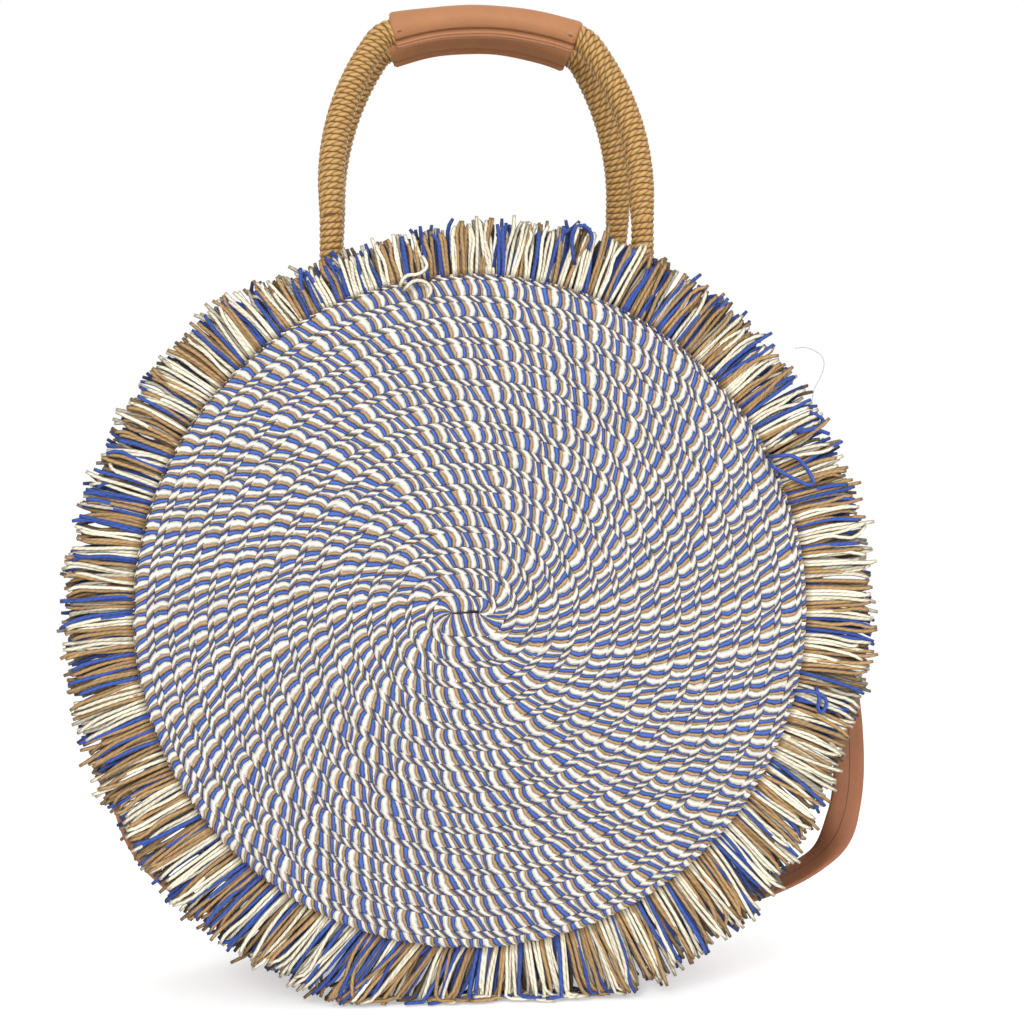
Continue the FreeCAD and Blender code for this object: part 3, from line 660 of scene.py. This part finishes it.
def wound_rope(name, side):
    """A tube along the handle's path with a ridge that winds round it: the radius falls from the crest by a rounded
    groove wherever length / pitch + turn is near a whole number. Both handles wind the same way, and the winding is
    thicker above the mouth."""
    rings, sides = int(2 * (half_rope - sewn_end) / (cord_pitch / 6)), 24
    place = np.linspace(sewn_end, 2 * half_rope - sewn_end, rings)
    mirrored = place > half_rope
    x, z, turn = handle_path(np.where(mirrored, 2 * half_rope - place, place))
    hand = np.where(mirrored, -1.0, 1.0)
    round_turn = np.arange(sides + 1) / sides
    winding = place[:, None] / cord_pitch - side * round_turn
    ridge = np.sin(np.pi * (winding[:, :-1] % 1.0)) ** 0.7
    radius = rope_radius - groove + thicker_above * np.clip(z / thicker_over, 0, 1)[:, None] + groove * ridge
    spin = 2 * np.pi * round_turn[:-1]
    across = (hand * x)[:, None] + radius * np.cos(spin) * (hand * np.cos(turn))[:, None]
    up = z[:, None] + radius * np.cos(spin) * np.sin(turn)[:, None]
    lean = np.where(z > 0, handle_lean, 0.0)[:, None]
    grid = on_handle(side, across, up, radius * np.sin(spin), lean)
    v = np.floor(winding) * plies_a_turn - side * round_turn * 2 * np.pi * rope_radius / ply_length
    return dress(skin(name, grid[None], as_points(winding, v)[None]), cord_finish, "rope")


for word, side in both_sides:
    rope = wound_rope(f"{word}_wound_rope", side)
    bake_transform(rope)
    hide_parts(f"{word}_handle_rope", f"{word}_left_handle_end", f"{word}_right_handle_end")

# Leather grips
# A sleeve of smooth tan leather folded round the top of each handle, its two edges sewn together below the rope as a
# standing lip. The ends stand up a little from the rope, and each has one tack on its outer side.
grip_outer, lip_drop, lip_half, lip_top = 0.00875, 0.0030, 0.0016, -0.0098


def make_grain_group():
    """Leather: cells of fine grain and slow mottling on Object coordinates. Shade is about 1, Height is for a bump,
    and Dull is a roughness."""
    group, entry, leave = open_group("leather grain", ["Cells"], ["Shade", "Height", "Dull"])
    place = node(group, "ShaderNodeTexCoord").outputs["Object"]
    inputs = {"Vector": place, "Scale": entry.outputs["Cells"]}
    cells = node(group, "ShaderNodeTexVoronoi", inputs, feature="DISTANCE_TO_EDGE").outputs["Distance"]
    mottle = noise(group, 55.0, 4.0, 0.6)
    fold = calc("MINIMUM", times(cells, 4.0), 1.0)
    feed(leave, {"Shade": calc("ADD", scaled(mottle, 0.36, 0.76), times(fold, 0.06)),
                 "Height": scaled(mottle, 0.4, fold), "Dull": scaled(mottle, 0.25, 0.36)})
    return group


grain_group = make_grain_group()


def make_leather_finish(name, colour, dark, seams=()):
    """Leather with grain, darker along its seams, with a shallow groove there. UV v goes across the piece, and seams
    gives the places across where a seam or fold runs, as (place, half width) pairs."""
    material, tree, shader = new_material(name, Specular_IOR_Level=0.35)
    grain = node(tree, "ShaderNodeGroup", {"Cells": 900.0}, node_tree=grain_group).outputs
    base, height = shaded(colour, grain["Shade"]), grain["Height"]
    across = split_uv(tree)[1]
    for place, half in seams:
        near = calc("DIVIDE", calc("ABSOLUTE", calc("SUBTRACT", across, place)), half)
        mark = calc("SUBTRACT", 1.0, calc("MINIMUM", near, 1.0))
        base = mixed("MIX", mark, base, dark)
        height = calc("SUBTRACT", height, times(mark, 3.0))
    feed(shader, {"Base Color": base, "Roughness": grain["Dull"], "Normal": emboss(height, 0.35, 0.0003)})
    return material


grip_finish = make_leather_finish("grip leather", tint("B37B51"), tint("74452A"), [(0.035, 0.02), (0.965, 0.02)])


def leather_sleeve(name, side):
    """A closed profile carried along the grip's arc: a circle round the rope that narrows below into a lip of two
    layers. The rings shrink a little at both ends, where a flat face shuts the sleeve round the rope. Towards the ends
    the upper half lifts by the cube of the share along, more at the left, where it is also cut back."""
    share = np.linspace(-1, 1, 65)
    x, z, turn = handle_path(half_rope - np.abs(share) * (half_grip - 0.0004))
    hand = np.where(share > 0, -1.0, 1.0)
    open_angle = math.asin(lip_half / grip_outer)
    spin = np.linspace(-np.pi / 2 + open_angle, 1.5 * np.pi - open_angle, 41)
    low = -grip_outer - lip_drop
    lip_side = lip_half * np.array([-1.0, -1.0, -0.9, -0.35, 0.35, 0.9, 1.0, 1.0])
    lip_up = np.array([lip_top, low + 0.0012, low + 0.0003, low, low, low + 0.0003, low + 0.0012, lip_top])
    profile_side = np.concatenate([grip_outer * np.cos(spin), lip_side])
    profile_up = np.concatenate([grip_outer * np.sin(spin), lip_up])
    rounding = np.sqrt(np.clip(1 - np.clip((np.abs(share) - 0.965) / 0.035, 0, 1) ** 2, 0, 1))
    swell = 1 - 0.10 * (1 - rounding) + 0.012 * np.sin(share * 9.0)
    crown = np.clip(profile_up / grip_outer, 0, 1)
    lift = 0.0033 * np.abs(share) ** 3 + 0.0018 * share ** 3
    cut_back = 0.0040 * np.clip(share, 0, 1) ** 3
    out = profile_up * swell[:, None] + lift[:, None] * crown
    across = (hand * x)[:, None] + out * (hand * np.cos(turn))[:, None] + cut_back[:, None] * crown
    up = z[:, None] + out * np.sin(turn)[:, None]
    grid = on_handle(side, across, up, profile_side * swell[:, None])
    uv = as_points(share[:, None], np.linspace(0, 1, len(profile_side) + 1))
    return skin(name, grid[None], uv[None])


for word, side in both_sides:
    dress(leather_sleeve(f"{word}_leather_grip", side), grip_finish, "grip_leather", f"{word}_handle", f"{word}_grip")

thread_radius, stitch_pitch, stitch_share = 0.00038, 0.0042, 0.72
# Each thread's second colour is painted shade at the ends of its stitches, where they go into the leather.
pale_thread = make_yarn_finish("pale thread", tint("E4D3B0"), tint("9C8660"))
brown_thread = make_yarn_finish("brown thread", tint("8A5838"), tint("4A2A18"))


def stitch_lines(path, out):
    """The stitches of a seam along a path: short lines one after another that rise from the leather and go back in.
    out is the way out of the surface."""
    length = run_length(path)
    count = max(int(length[-1] / stitch_pitch), 1)
    centre = (np.arange(count) + 0.5) * length[-1] / count
    place = centre[:, None] + np.linspace(-0.5, 0.5, 5) * stitch_pitch * stitch_share
    rise = read_line(place, length, np.broadcast_to(out, path.shape))
    return read_line(place, length, path) + rise * thread_radius * np.array([-1.3, 0.2, 0.5, 0.2, -1.3])[:, None]


def sew(name, seams, thread, body):
    """One piece of thread for all the stitches of some seams, on a body."""
    dress(strand_skin(name, np.concatenate(seams), thread_radius, 0), thread, "yarn", body)


tack_turn, tack_ends = 0.55, end_bend + np.array([0.0030, 0.0062])
for word, side in both_sides:
    x, z, turn = handle_path(tack_ends)
    reach, away = -grip_outer * math.sin(tack_turn), grip_outer * math.cos(tack_turn)
    across, up = x + reach * np.cos(turn), z + reach * np.sin(turn)
    tacks = [stitch_lines(on_handle(side, hand * across, up, away), (0.0, side, 0.0)) for hand in (-1, 1)]
    sew(f"{word}_grip_tacks", tacks, brown_thread, f"{word}_handle")

# Anchors
# Inside the mouth each end of a handle is held by a leather saddle: a strip bent round the rope, with its two wings
# sewn through the lining in two rows.
anchor_leather, anchor_low, anchor_high, wing_seat = 0.0018, 0.3397, 0.3857, 0.0088
anchor_middle, sewn_half = (anchor_low + anchor_high) / 2, (anchor_high - anchor_low) / 2 - 0.003
both_hands = (("left", -1), ("right", 1))


def leather_strip(name, line, wide, width, thickness):
    """A strip of leather: a flat profile with rounded edges carried along the line, across the direction wide. UV u
    counts widths along the strip, and v goes over one face from 0 to 0.5 and back over the other to 1."""
    wide = np.broadcast_to(wide, line.shape)
    thick = unit(np.cross(unit(np.gradient(line, axis=0)), wide))
    half, rise = width / 2, thickness / 2
    place = np.array([0.55 * rise - half, -half / 2, 0, half / 2, half - 0.55 * rise, half - 0.15 * rise, half,
                      half - 0.15 * rise])
    height = rise * np.array([1, 1, 1, 1, 1, 0.65, 0, -0.65])
    across, upward = np.concatenate([place, -place]), np.concatenate([height, -height])
    grid = line[:, None] + across[None, :, None] * wide[:, None] + upward[None, :, None] * thick[:, None]
    face = np.concatenate([0.5 * (place[:5] + half) / width, [0.48, 0.5, 0.52]])
    uv = as_points(run_length(line)[:, None] / width, np.concatenate([face, 0.5 + face, [1.0]]))
    return skin(name, grid[None], uv[None])


def arc(x, y, radius, first, last, count):
    """Points on an arc about x, y between two angles in degrees."""
    turn = np.radians(np.linspace(first, last, count))
    return as_points(x + radius * np.cos(turn), y + radius * np.sin(turn))


anchor_finish = make_leather_finish("anchor leather", tint("B47C50"), tint("7A4A2C"))
wing = np.concatenate([
    as_points(np.linspace(-0.0200, -0.0110, 7), wing_seat),
    arc(-0.0102, 0.0068, 0.0020, 90, 0, 6),
    arc(0.0, 0.0, 0.0082, 180, 360, 25),
    arc(0.0102, 0.0068, 0.0020, 180, 90, 6),
    as_points(np.linspace(0.0110, 0.0200, 7), wing_seat),
])
for word, side in both_sides:
    for hand_word, hand in both_hands:
        middle_x = handle_middle[side] + hand * handle_span
        line = as_points(middle_x + wing[:, 0], side * (pivot_depth + wing[:, 1]), anchor_middle)
        saddle = leather_strip(f"{word}_{hand_word}_saddle", line, (0.0, 0.0, 1.0), anchor_high - anchor_low,
                               anchor_leather)
        dress(saddle, anchor_finish, "grip_leather", "bag", f"{word}_{hand_word}_anchor")
        face = side * (pivot_depth + wing_seat - anchor_leather / 2)
        heights = np.array([anchor_middle - sewn_half, anchor_middle + sewn_half])
        seams = [stitch_lines(as_points(middle_x + x, face, heights), (0.0, -side, 0.0))
                 for x in (-0.0180, -0.0130, 0.0130, 0.0180)]
        sew(f"{word}_{hand_word}_saddle_stitches", seams, pale_thread, "bag")

# Linings and pocket
# Plain woven cotton in ecru. A disc of it lines each panel, a long strip lines the gusset, and a patch pocket with a
# turned hem at its top is sewn to the back lining.
disc_cloth, cloth_thickness = 0.1945, 0.0007
strip_radius, strip_half = 0.1942, 0.0584
pocket_half, pocket_low, pocket_high, pocket_corner = 0.0750, 0.1920, 0.3020, 0.0140


def make_cloth_finish(name, colour, thread_pitch):
    """Plain weave from UV in metres: two sets of threads, each over the other by turns, with slubs and slow tone.
    Painted shade darkens each thread where it dips under the other.
    """
    material, tree, shader = new_material(name, Roughness=0.9, Sheen_Weight=0.1)
    warp, weft = (calc("DIVIDE", part, thread_pitch) for part in split_uv(tree))
    over = calc("ABSOLUTE", calc("MODULO", calc("ADD", calc("FLOOR", warp), calc("FLOOR", weft)), 2.0))
    ridge = calc("ADD", times(over, arches(warp)), times(calc("SUBTRACT", 1.0, over), arches(weft)))
    slub = fibre(times(warp, 0.8), times(weft, 0.06))[0]
    # ridge also gives painted shade where a thread dips under the other.
    shade = times(slub, scaled(ridge, 0.3, 0.72), scaled(noise(tree, 30.0, 4.0), 0.3, 0.87))
    feed(shader, {"Base Color": shaded(colour, shade), "Normal": emboss(ridge, 0.5, 0.0003)})
    return material


cloth_finish = make_cloth_finish("lining cotton", tint("E3D6BA"), 0.0008)


def flat_cloth(name, grid):
    """A piece of cloth that lies across the bag's depth, with x and z as its UV."""
    uv = grid[..., [0, 2]]
    return skin(name, grid[None], np.concatenate([uv, uv[:, :1]], axis=1)[None])


def lining_disc(name, side):
    """A round of cloth with two faces: rings from the middle of the inner face out to the hem and back on the outer
    face. It puckers outwards near the hem by a wave of the angle that grows with the radius to the fourth."""
    share = np.array([0.002, 0.3, 0.55, 0.75, 0.88, 0.96, 0.995, 1.0])
    share = np.concatenate([share, share[::-1]])[:, None]
    layer = np.array([0.0] * 7 + [0.15, 0.85] + [1.0] * 7)[:, None]
    turn = 2 * np.pi * np.arange(180) / 180
    radius = disc_cloth * share
    pucker = (0.5 + 0.5 * np.sin(23 * turn + 2 * np.sin(3 * turn))) * share ** 4
    depth = 0.0588 + 0.0007 * pucker + cloth_thickness * layer
    return flat_cloth(name, as_points(radius * np.cos(turn), side * depth, disc_height + radius * np.sin(turn)))


for word, side in both_sides:
    cloth = dress(lining_disc(f"{word}_lining_cloth", side), cloth_finish, "lining", "bag", f"{word}_lining")


def lining_strip(name):
    """A strip of cloth along an arc about the discs' axis, inside the gusset: a thin closed profile across the bag's
    depth, puckered a little between its long edges."""
    turn = np.linspace(gusset_start, gusset_end, 241)[:, None]
    share = np.linspace(-1, 1, 13)
    across = strip_half * np.concatenate([share, share[::-1]])
    layer = np.repeat([-cloth_thickness / 2, cloth_thickness / 2], 13)
    pucker = 0.0004 * np.sin(90 * turn) * (across / strip_half) ** 4
    out = strip_radius + layer + np.minimum(pucker, 0)
    grid = as_points(out * np.cos(turn), across, disc_height + out * np.sin(turn))
    uv = as_points(turn * strip_radius, np.concatenate([across, across[:1]]))
    return skin(name, grid[None], uv[None])


cloth = dress(lining_strip("gusset_lining_cloth"), cloth_finish, "lining", "bag", "gusset_lining")


def patch_pocket(name):
    """A patch of cloth with round lower corners: its outline drawn in towards the middle on one face, and out again on
    the other. It stands off the lining a little towards its open top, where the hem makes it thicker."""
    middle = (pocket_low + pocket_high) / 2
    right = np.concatenate([
        arc(pocket_half - pocket_corner, pocket_low + pocket_corner, pocket_corner, -90, 0, 9),
        as_points(pocket_half, np.linspace(pocket_low + 0.024, pocket_high - 0.0005, 12)),
    ])
    top = as_points(np.linspace(pocket_half - 0.0005, 0.0005 - pocket_half, 21), pocket_high)
    bottom = as_points(np.linspace(-0.055, 0.055, 14), pocket_low)
    outline = np.concatenate([right, top, right[::-1] * [-1, 1], bottom])
    share = np.array([0.003, 0.3, 0.6, 0.8, 0.9, 0.96, 0.99, 1.0, 1.0, 0.99, 0.9, 0.6, 0.3, 0.003])[:, None]
    layer = np.array([1.0] * 7 + [0.8, 0.2] + [0.0] * 5)[:, None]
    x = outline[:, 0] * share
    z = middle + (outline[:, 1] - middle) * share
    rise = np.clip((z - pocket_low) / (pocket_high - pocket_low), 0, 1)
    loose = 0.0016 * rise ** 2 * np.cos(np.pi * x / (2 * pocket_half))
    hem = 0.0004 * (z > pocket_high - 0.0120)
    return flat_cloth(name, as_points(x, 0.0584 - loose - layer * (0.0008 + hem), z))


cloth = dress(patch_pocket("pocket_cloth"), cloth_finish, "lining", "bag", "inner_pocket")
inset, hem_gap, seam_depth = 0.0030, 0.002, 0.0576
corner_x, corner_z, seam_corner = pocket_half - pocket_corner, pocket_low + pocket_corner, pocket_corner - inset
seam = np.concatenate([
    [[-pocket_half + inset, pocket_high - hem_gap]],
    arc(-corner_x, corner_z, seam_corner, 180, 270, 9),
    arc(corner_x, corner_z, seam_corner, 270, 360, 9),
    [[pocket_half - inset, pocket_high - hem_gap]],
])
seam = as_points(seam[:, 0], seam_depth, seam[:, 1])
sew("pocket_stitches", [stitch_lines(seam, (0.0, -1.0, 0.0))], pale_thread, "bag")

# Strap tabs, strap ends and metal
# On each side a strip of brown leather is folded round a brass ring and sewn to the gusset, and the strap's own end is
# folded round the ring's lower bar and held by a brass rivet. A brass magnetic snap is set in the mouth.
strap_width, strap_leather, stitch_depth = 0.0200, 0.0016, 0.0080
strap_finish = make_leather_finish("strap leather", tint("A96D4B"), tint("6B3D27"), [(0.25, 0.012), (0.75, 0.012)])
tab_seat, tab_top, tab_turn = 0.1993, 0.0032, math.radians(57)
bar_x, bar_z, tongue_turn = 0.1817, 0.3315, math.radians(60)
depth_way = (0.0, 1.0, 0.0)
tab_path = np.concatenate([
    as_points(np.linspace(0.0340, 0.0006, 14), 0.0008),
    arc(0.0, 0.0034, 0.0026, -90, -350, 24),
    [[0.00275, 0.00325], [0.00305, 0.00275], [0.0036, 0.00245], [0.0045, 0.0024]],
    as_points(np.linspace(0.0060, 0.0340, 12), 0.0024),
])
tongue_path = np.concatenate([
    as_points(np.linspace(0.0300, 0.0050, 11), -0.0008),
    [[0.0036, -0.00085], [0.0029, -0.00105]],
    arc(0.0, 0.0, 0.0026, -35, -325, 24),
    [[0.0029, 0.00105], [0.0036, 0.00085]],
    as_points(np.linspace(0.0050, 0.0300, 11), 0.0008),
])


def on_gusset(hand, along, rise, depth):
    """Points along the gusset from a tab's fold, at a height over it and a place in the bag's depth."""
    turn = tab_turn + along / tab_seat
    radius = tab_seat + rise
    return as_points(hand * radius * np.sin(turn), depth, disc_height + radius * np.cos(turn))


def on_tongue(hand, along, rise, depth):
    """Points along a strap's end from the ring's lower bar, at a height off its middle and a place in the depth."""
    x = bar_x + along * math.cos(tongue_turn) + rise * math.sin(tongue_turn)
    z = bar_z - along * math.sin(tongue_turn) + rise * math.cos(tongue_turn)
    return as_points(hand * x, depth, z)


for word, hand in both_hands:
    tab = leather_strip(f"{word}_folded_tab", on_gusset(hand, *tab_path.T, 0.0), depth_way, strap_width, strap_leather)
    dress(tab, strap_finish, "strap_leather", "bag", f"{word}_strap_tab")
    run = np.linspace(0.0080, 0.0320, 9)
    out = (on_gusset(hand, run, tab_top + 0.001, 0.0) - on_gusset(hand, run, tab_top, 0.0)) / 0.001
    seams = [stitch_lines(on_gusset(hand, run, tab_top, depth), out) for depth in (-stitch_depth, stitch_depth)]
    across = np.linspace(-stitch_depth, stitch_depth, 5)
    seams += [stitch_lines(on_gusset(hand, end, tab_top, across), out[0]) for end in (0.0075, 0.0325)]
    sew(f"{word}_tab_stitches", seams, brown_thread, "bag")
    tongue = leather_strip(f"{word}_folded_end", on_tongue(hand, *tongue_path.T, 0.0), depth_way, strap_width,
                           strap_leather)
    dress(tongue, strap_finish, "strap_leather", f"{word}_ring", f"{word}_strap_end")
    run = np.linspace(0.0070, 0.0290, 7)
    out = np.array([hand * math.sin(tongue_turn), 0.0, math.cos(tongue_turn)])
    seams = [stitch_lines(on_tongue(hand, run, face * strap_leather, depth), face * out)
             for depth in (-stitch_depth, stitch_depth) for face in (-1, 1)]
    sew(f"{word}_end_stitches", seams, brown_thread, f"{word}_ring")


def make_brass_finish():
    """Brushed brass, lighter and duller where it is rubbed."""
    material, tree, shader = new_material("brushed brass", Metallic=1.0)
    worn, fine = noise(tree, 260.0, 4.0, 0.7), noise(tree, 2600.0, 2.0)
    colour = ramp(worn, [(0.3, tint("A98748")), (0.5, tint("CDAA66")), (0.72, tint("E3C88C"))])
    feed(shader, {"Base Color": colour, "Roughness": scaled(worn, 0.22, 0.2), "Normal": emboss(fine, 0.12, 0.0001)})
    return material


brass_finish = make_brass_finish()
for name in ("left_strap_ring", "right_strap_ring", "left_strap_rivet", "right_strap_rivet", "snap_socket",
             "snap_stud"):
    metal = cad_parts[name]
    metal.data.materials.clear()
    metal.data.materials.append(brass_finish)

# Shoulder strap
# Brown leather, 20 mm wide, folded to two layers with the joint down its middle. It hangs in one loop from the two
# rings, behind the front fringe, and its right run is turned so that its face looks forwards.
strap_thickness = 0.0032
strap_route = [
    (0.19685, 0, 0.30525), (0.21385, 0, 0.2758), (0.2290, -0.003, 0.234), (0.2378, -0.009, 0.190),
    (0.2422, -0.013, 0.146), (0.2412, -0.014, 0.1065), (0.2315, -0.012, 0.0745), (0.2040, -0.008, 0.0555),
    (0.165, -0.003, 0.041), (0.118, 0, 0.028), (0.069, 0, 0.018), (0.019, 0, 0.012), (-0.031, 0, 0.012),
    (-0.081, 0, 0.019), (-0.130, 0, 0.032), (-0.1770, 0, 0.0495), (-0.2092, 0, 0.0795), (-0.2215, 0, 0.1215),
    (-0.227, 0, 0.166), (-0.227, 0, 0.208), (-0.222, 0, 0.244), (-0.21385, 0, 0.2758), (-0.19685, 0, 0.30525),
]
right_turns = [(0, 0), (0.07, 0), (0.13, -86), (0.208, -90), (0.253, -160), (0.33, -166), (0.42, -180), (0.5, -180)]
left_turns = [(0, 0), (0.5, 0)]


def strap_half(name, line, turns):
    """A flat band along the line: wide along the bag's depth, and turned about the line by turns, given as (length,
    angle) pairs with smooth steps between them."""
    way = unit(np.gradient(line, axis=0))
    length = run_length(line)
    places, angles = np.array(turns).T
    which = np.clip(np.searchsorted(places, length) - 1, 0, len(places) - 2)
    share = np.clip((length - places[which]) / (places[which + 1] - places[which]), 0, 1)
    share = share * share * (3 - 2 * share)
    angle = np.radians(angles[which] + (angles[which + 1] - angles[which]) * share)
    depth = np.array(depth_way)
    wide = np.cos(angle)[:, None] * depth + np.sin(angle)[:, None] * np.cross(depth, way)
    wide = unit(wide - way * np.sum(wide * way, axis=1, keepdims=True))
    piece = leather_strip(name, line, wide, strap_width, strap_thickness)
    return dress(piece, strap_finish, "strap_leather"), length[-1]


line = smooth_line(strap_route)
middle = len(line) // 2
for word, hand, points, turns in (("right", 1, line[: middle + 1], right_turns),
                                  ("left", -1, line[: middle - 1 : -1], left_turns)):
    strap, length = strap_half(f"{word}_strap", points, turns)
    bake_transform(strap)
    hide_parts("shoulder_strap")

# Studio
# A pale floor that fades into a white surround, a large soft lamp from the upper left and weaker ones from the right
# and from behind.
floor_half, fade_from, fade_over = 3.0, 0.5, 1.2
white, lamp_aim = (1, 1, 1, 1), (0, 0, 0.26)


def seen_share(tree):
    """1 for rays from the camera and for those that mirror or pass through, and 0 for the rest."""
    rays = node(tree, "ShaderNodeLightPath").outputs
    return calc("MAXIMUM", rays["Is Camera Ray"], calc("MAXIMUM", rays["Is Glossy Ray"], rays["Is Transmission Ray"]))


def lay_floor():
    """A flat square under the bag, bare at its edges: its material lets the white surround through with distance."""
    mesh = bpy.data.meshes.new("floor")
    corners = [(-floor_half, -floor_half, 0), (floor_half, -floor_half, 0), (floor_half, floor_half, 0),
               (-floor_half, floor_half, 0)]
    mesh.from_pydata(corners, [], [(0, 1, 2, 3)])
    material, tree, shader = new_material("floor", Base_Color=(0.80, 0.80, 0.80, 1), Roughness=1.0,
                                          Specular_IOR_Level=0.0, Emission_Color=white)
    place = node(tree, "ShaderNodeTexCoord").outputs["Object"]
    away = node(tree, "ShaderNodeVectorMath", {0: place}, operation="LENGTH").outputs["Value"]
    faded = calc("DIVIDE", calc("MAXIMUM", calc("SUBTRACT", away, fade_from), 0.0), fade_over)
    feed(shader, {"Emission Strength": times(seen_share(tree), 0.42),
                  "Alpha": calc("MAXIMUM", calc("SUBTRACT", 1.0, faded), 0.0)})
    mesh.materials.append(material)
    new_object("floor", mesh)


def put(holder, place, aim):
    """Sets a lamp or a camera at a place and turns it to an aim."""
    holder.location = place
    holder.rotation_euler = (Vector(aim) - Vector(place)).to_track_quat("-Z", "Y").to_euler()


lay_floor()
for name, place, size, power in (("key lamp", (-0.9, -1.9, 1.35), 1.0, 30), ("fill lamp", (1.3, -1.4, 0.8), 1.2, 11),
                                 ("back lamp", (0.9, 1.9, 1.3), 1.2, 20)):
    lamp = bpy.data.lights.new(name, "AREA")
    lamp.size, lamp.energy = size, power
    put(new_object(name, lamp), place, lamp_aim)

world = bpy.data.worlds.new("surround")
world.use_nodes = True
bpy.context.scene.world = world
strength = scaled(seen_share(world.node_tree), 0.40, 0.60)
feed(world.node_tree.nodes["Background"], {"Color": white, "Strength": strength})

camera = bpy.data.cameras.new("camera")
camera.lens, camera.sensor_width = 56.1, 36.0
viewer = new_object("camera", camera)
put(viewer, (-0.0661, -1.0043, 0.3065), (0.0265, -0.0087, 0.2904))
bpy.context.scene.camera = viewer
bpy.context.scene.view_settings.view_transform = "Standard"
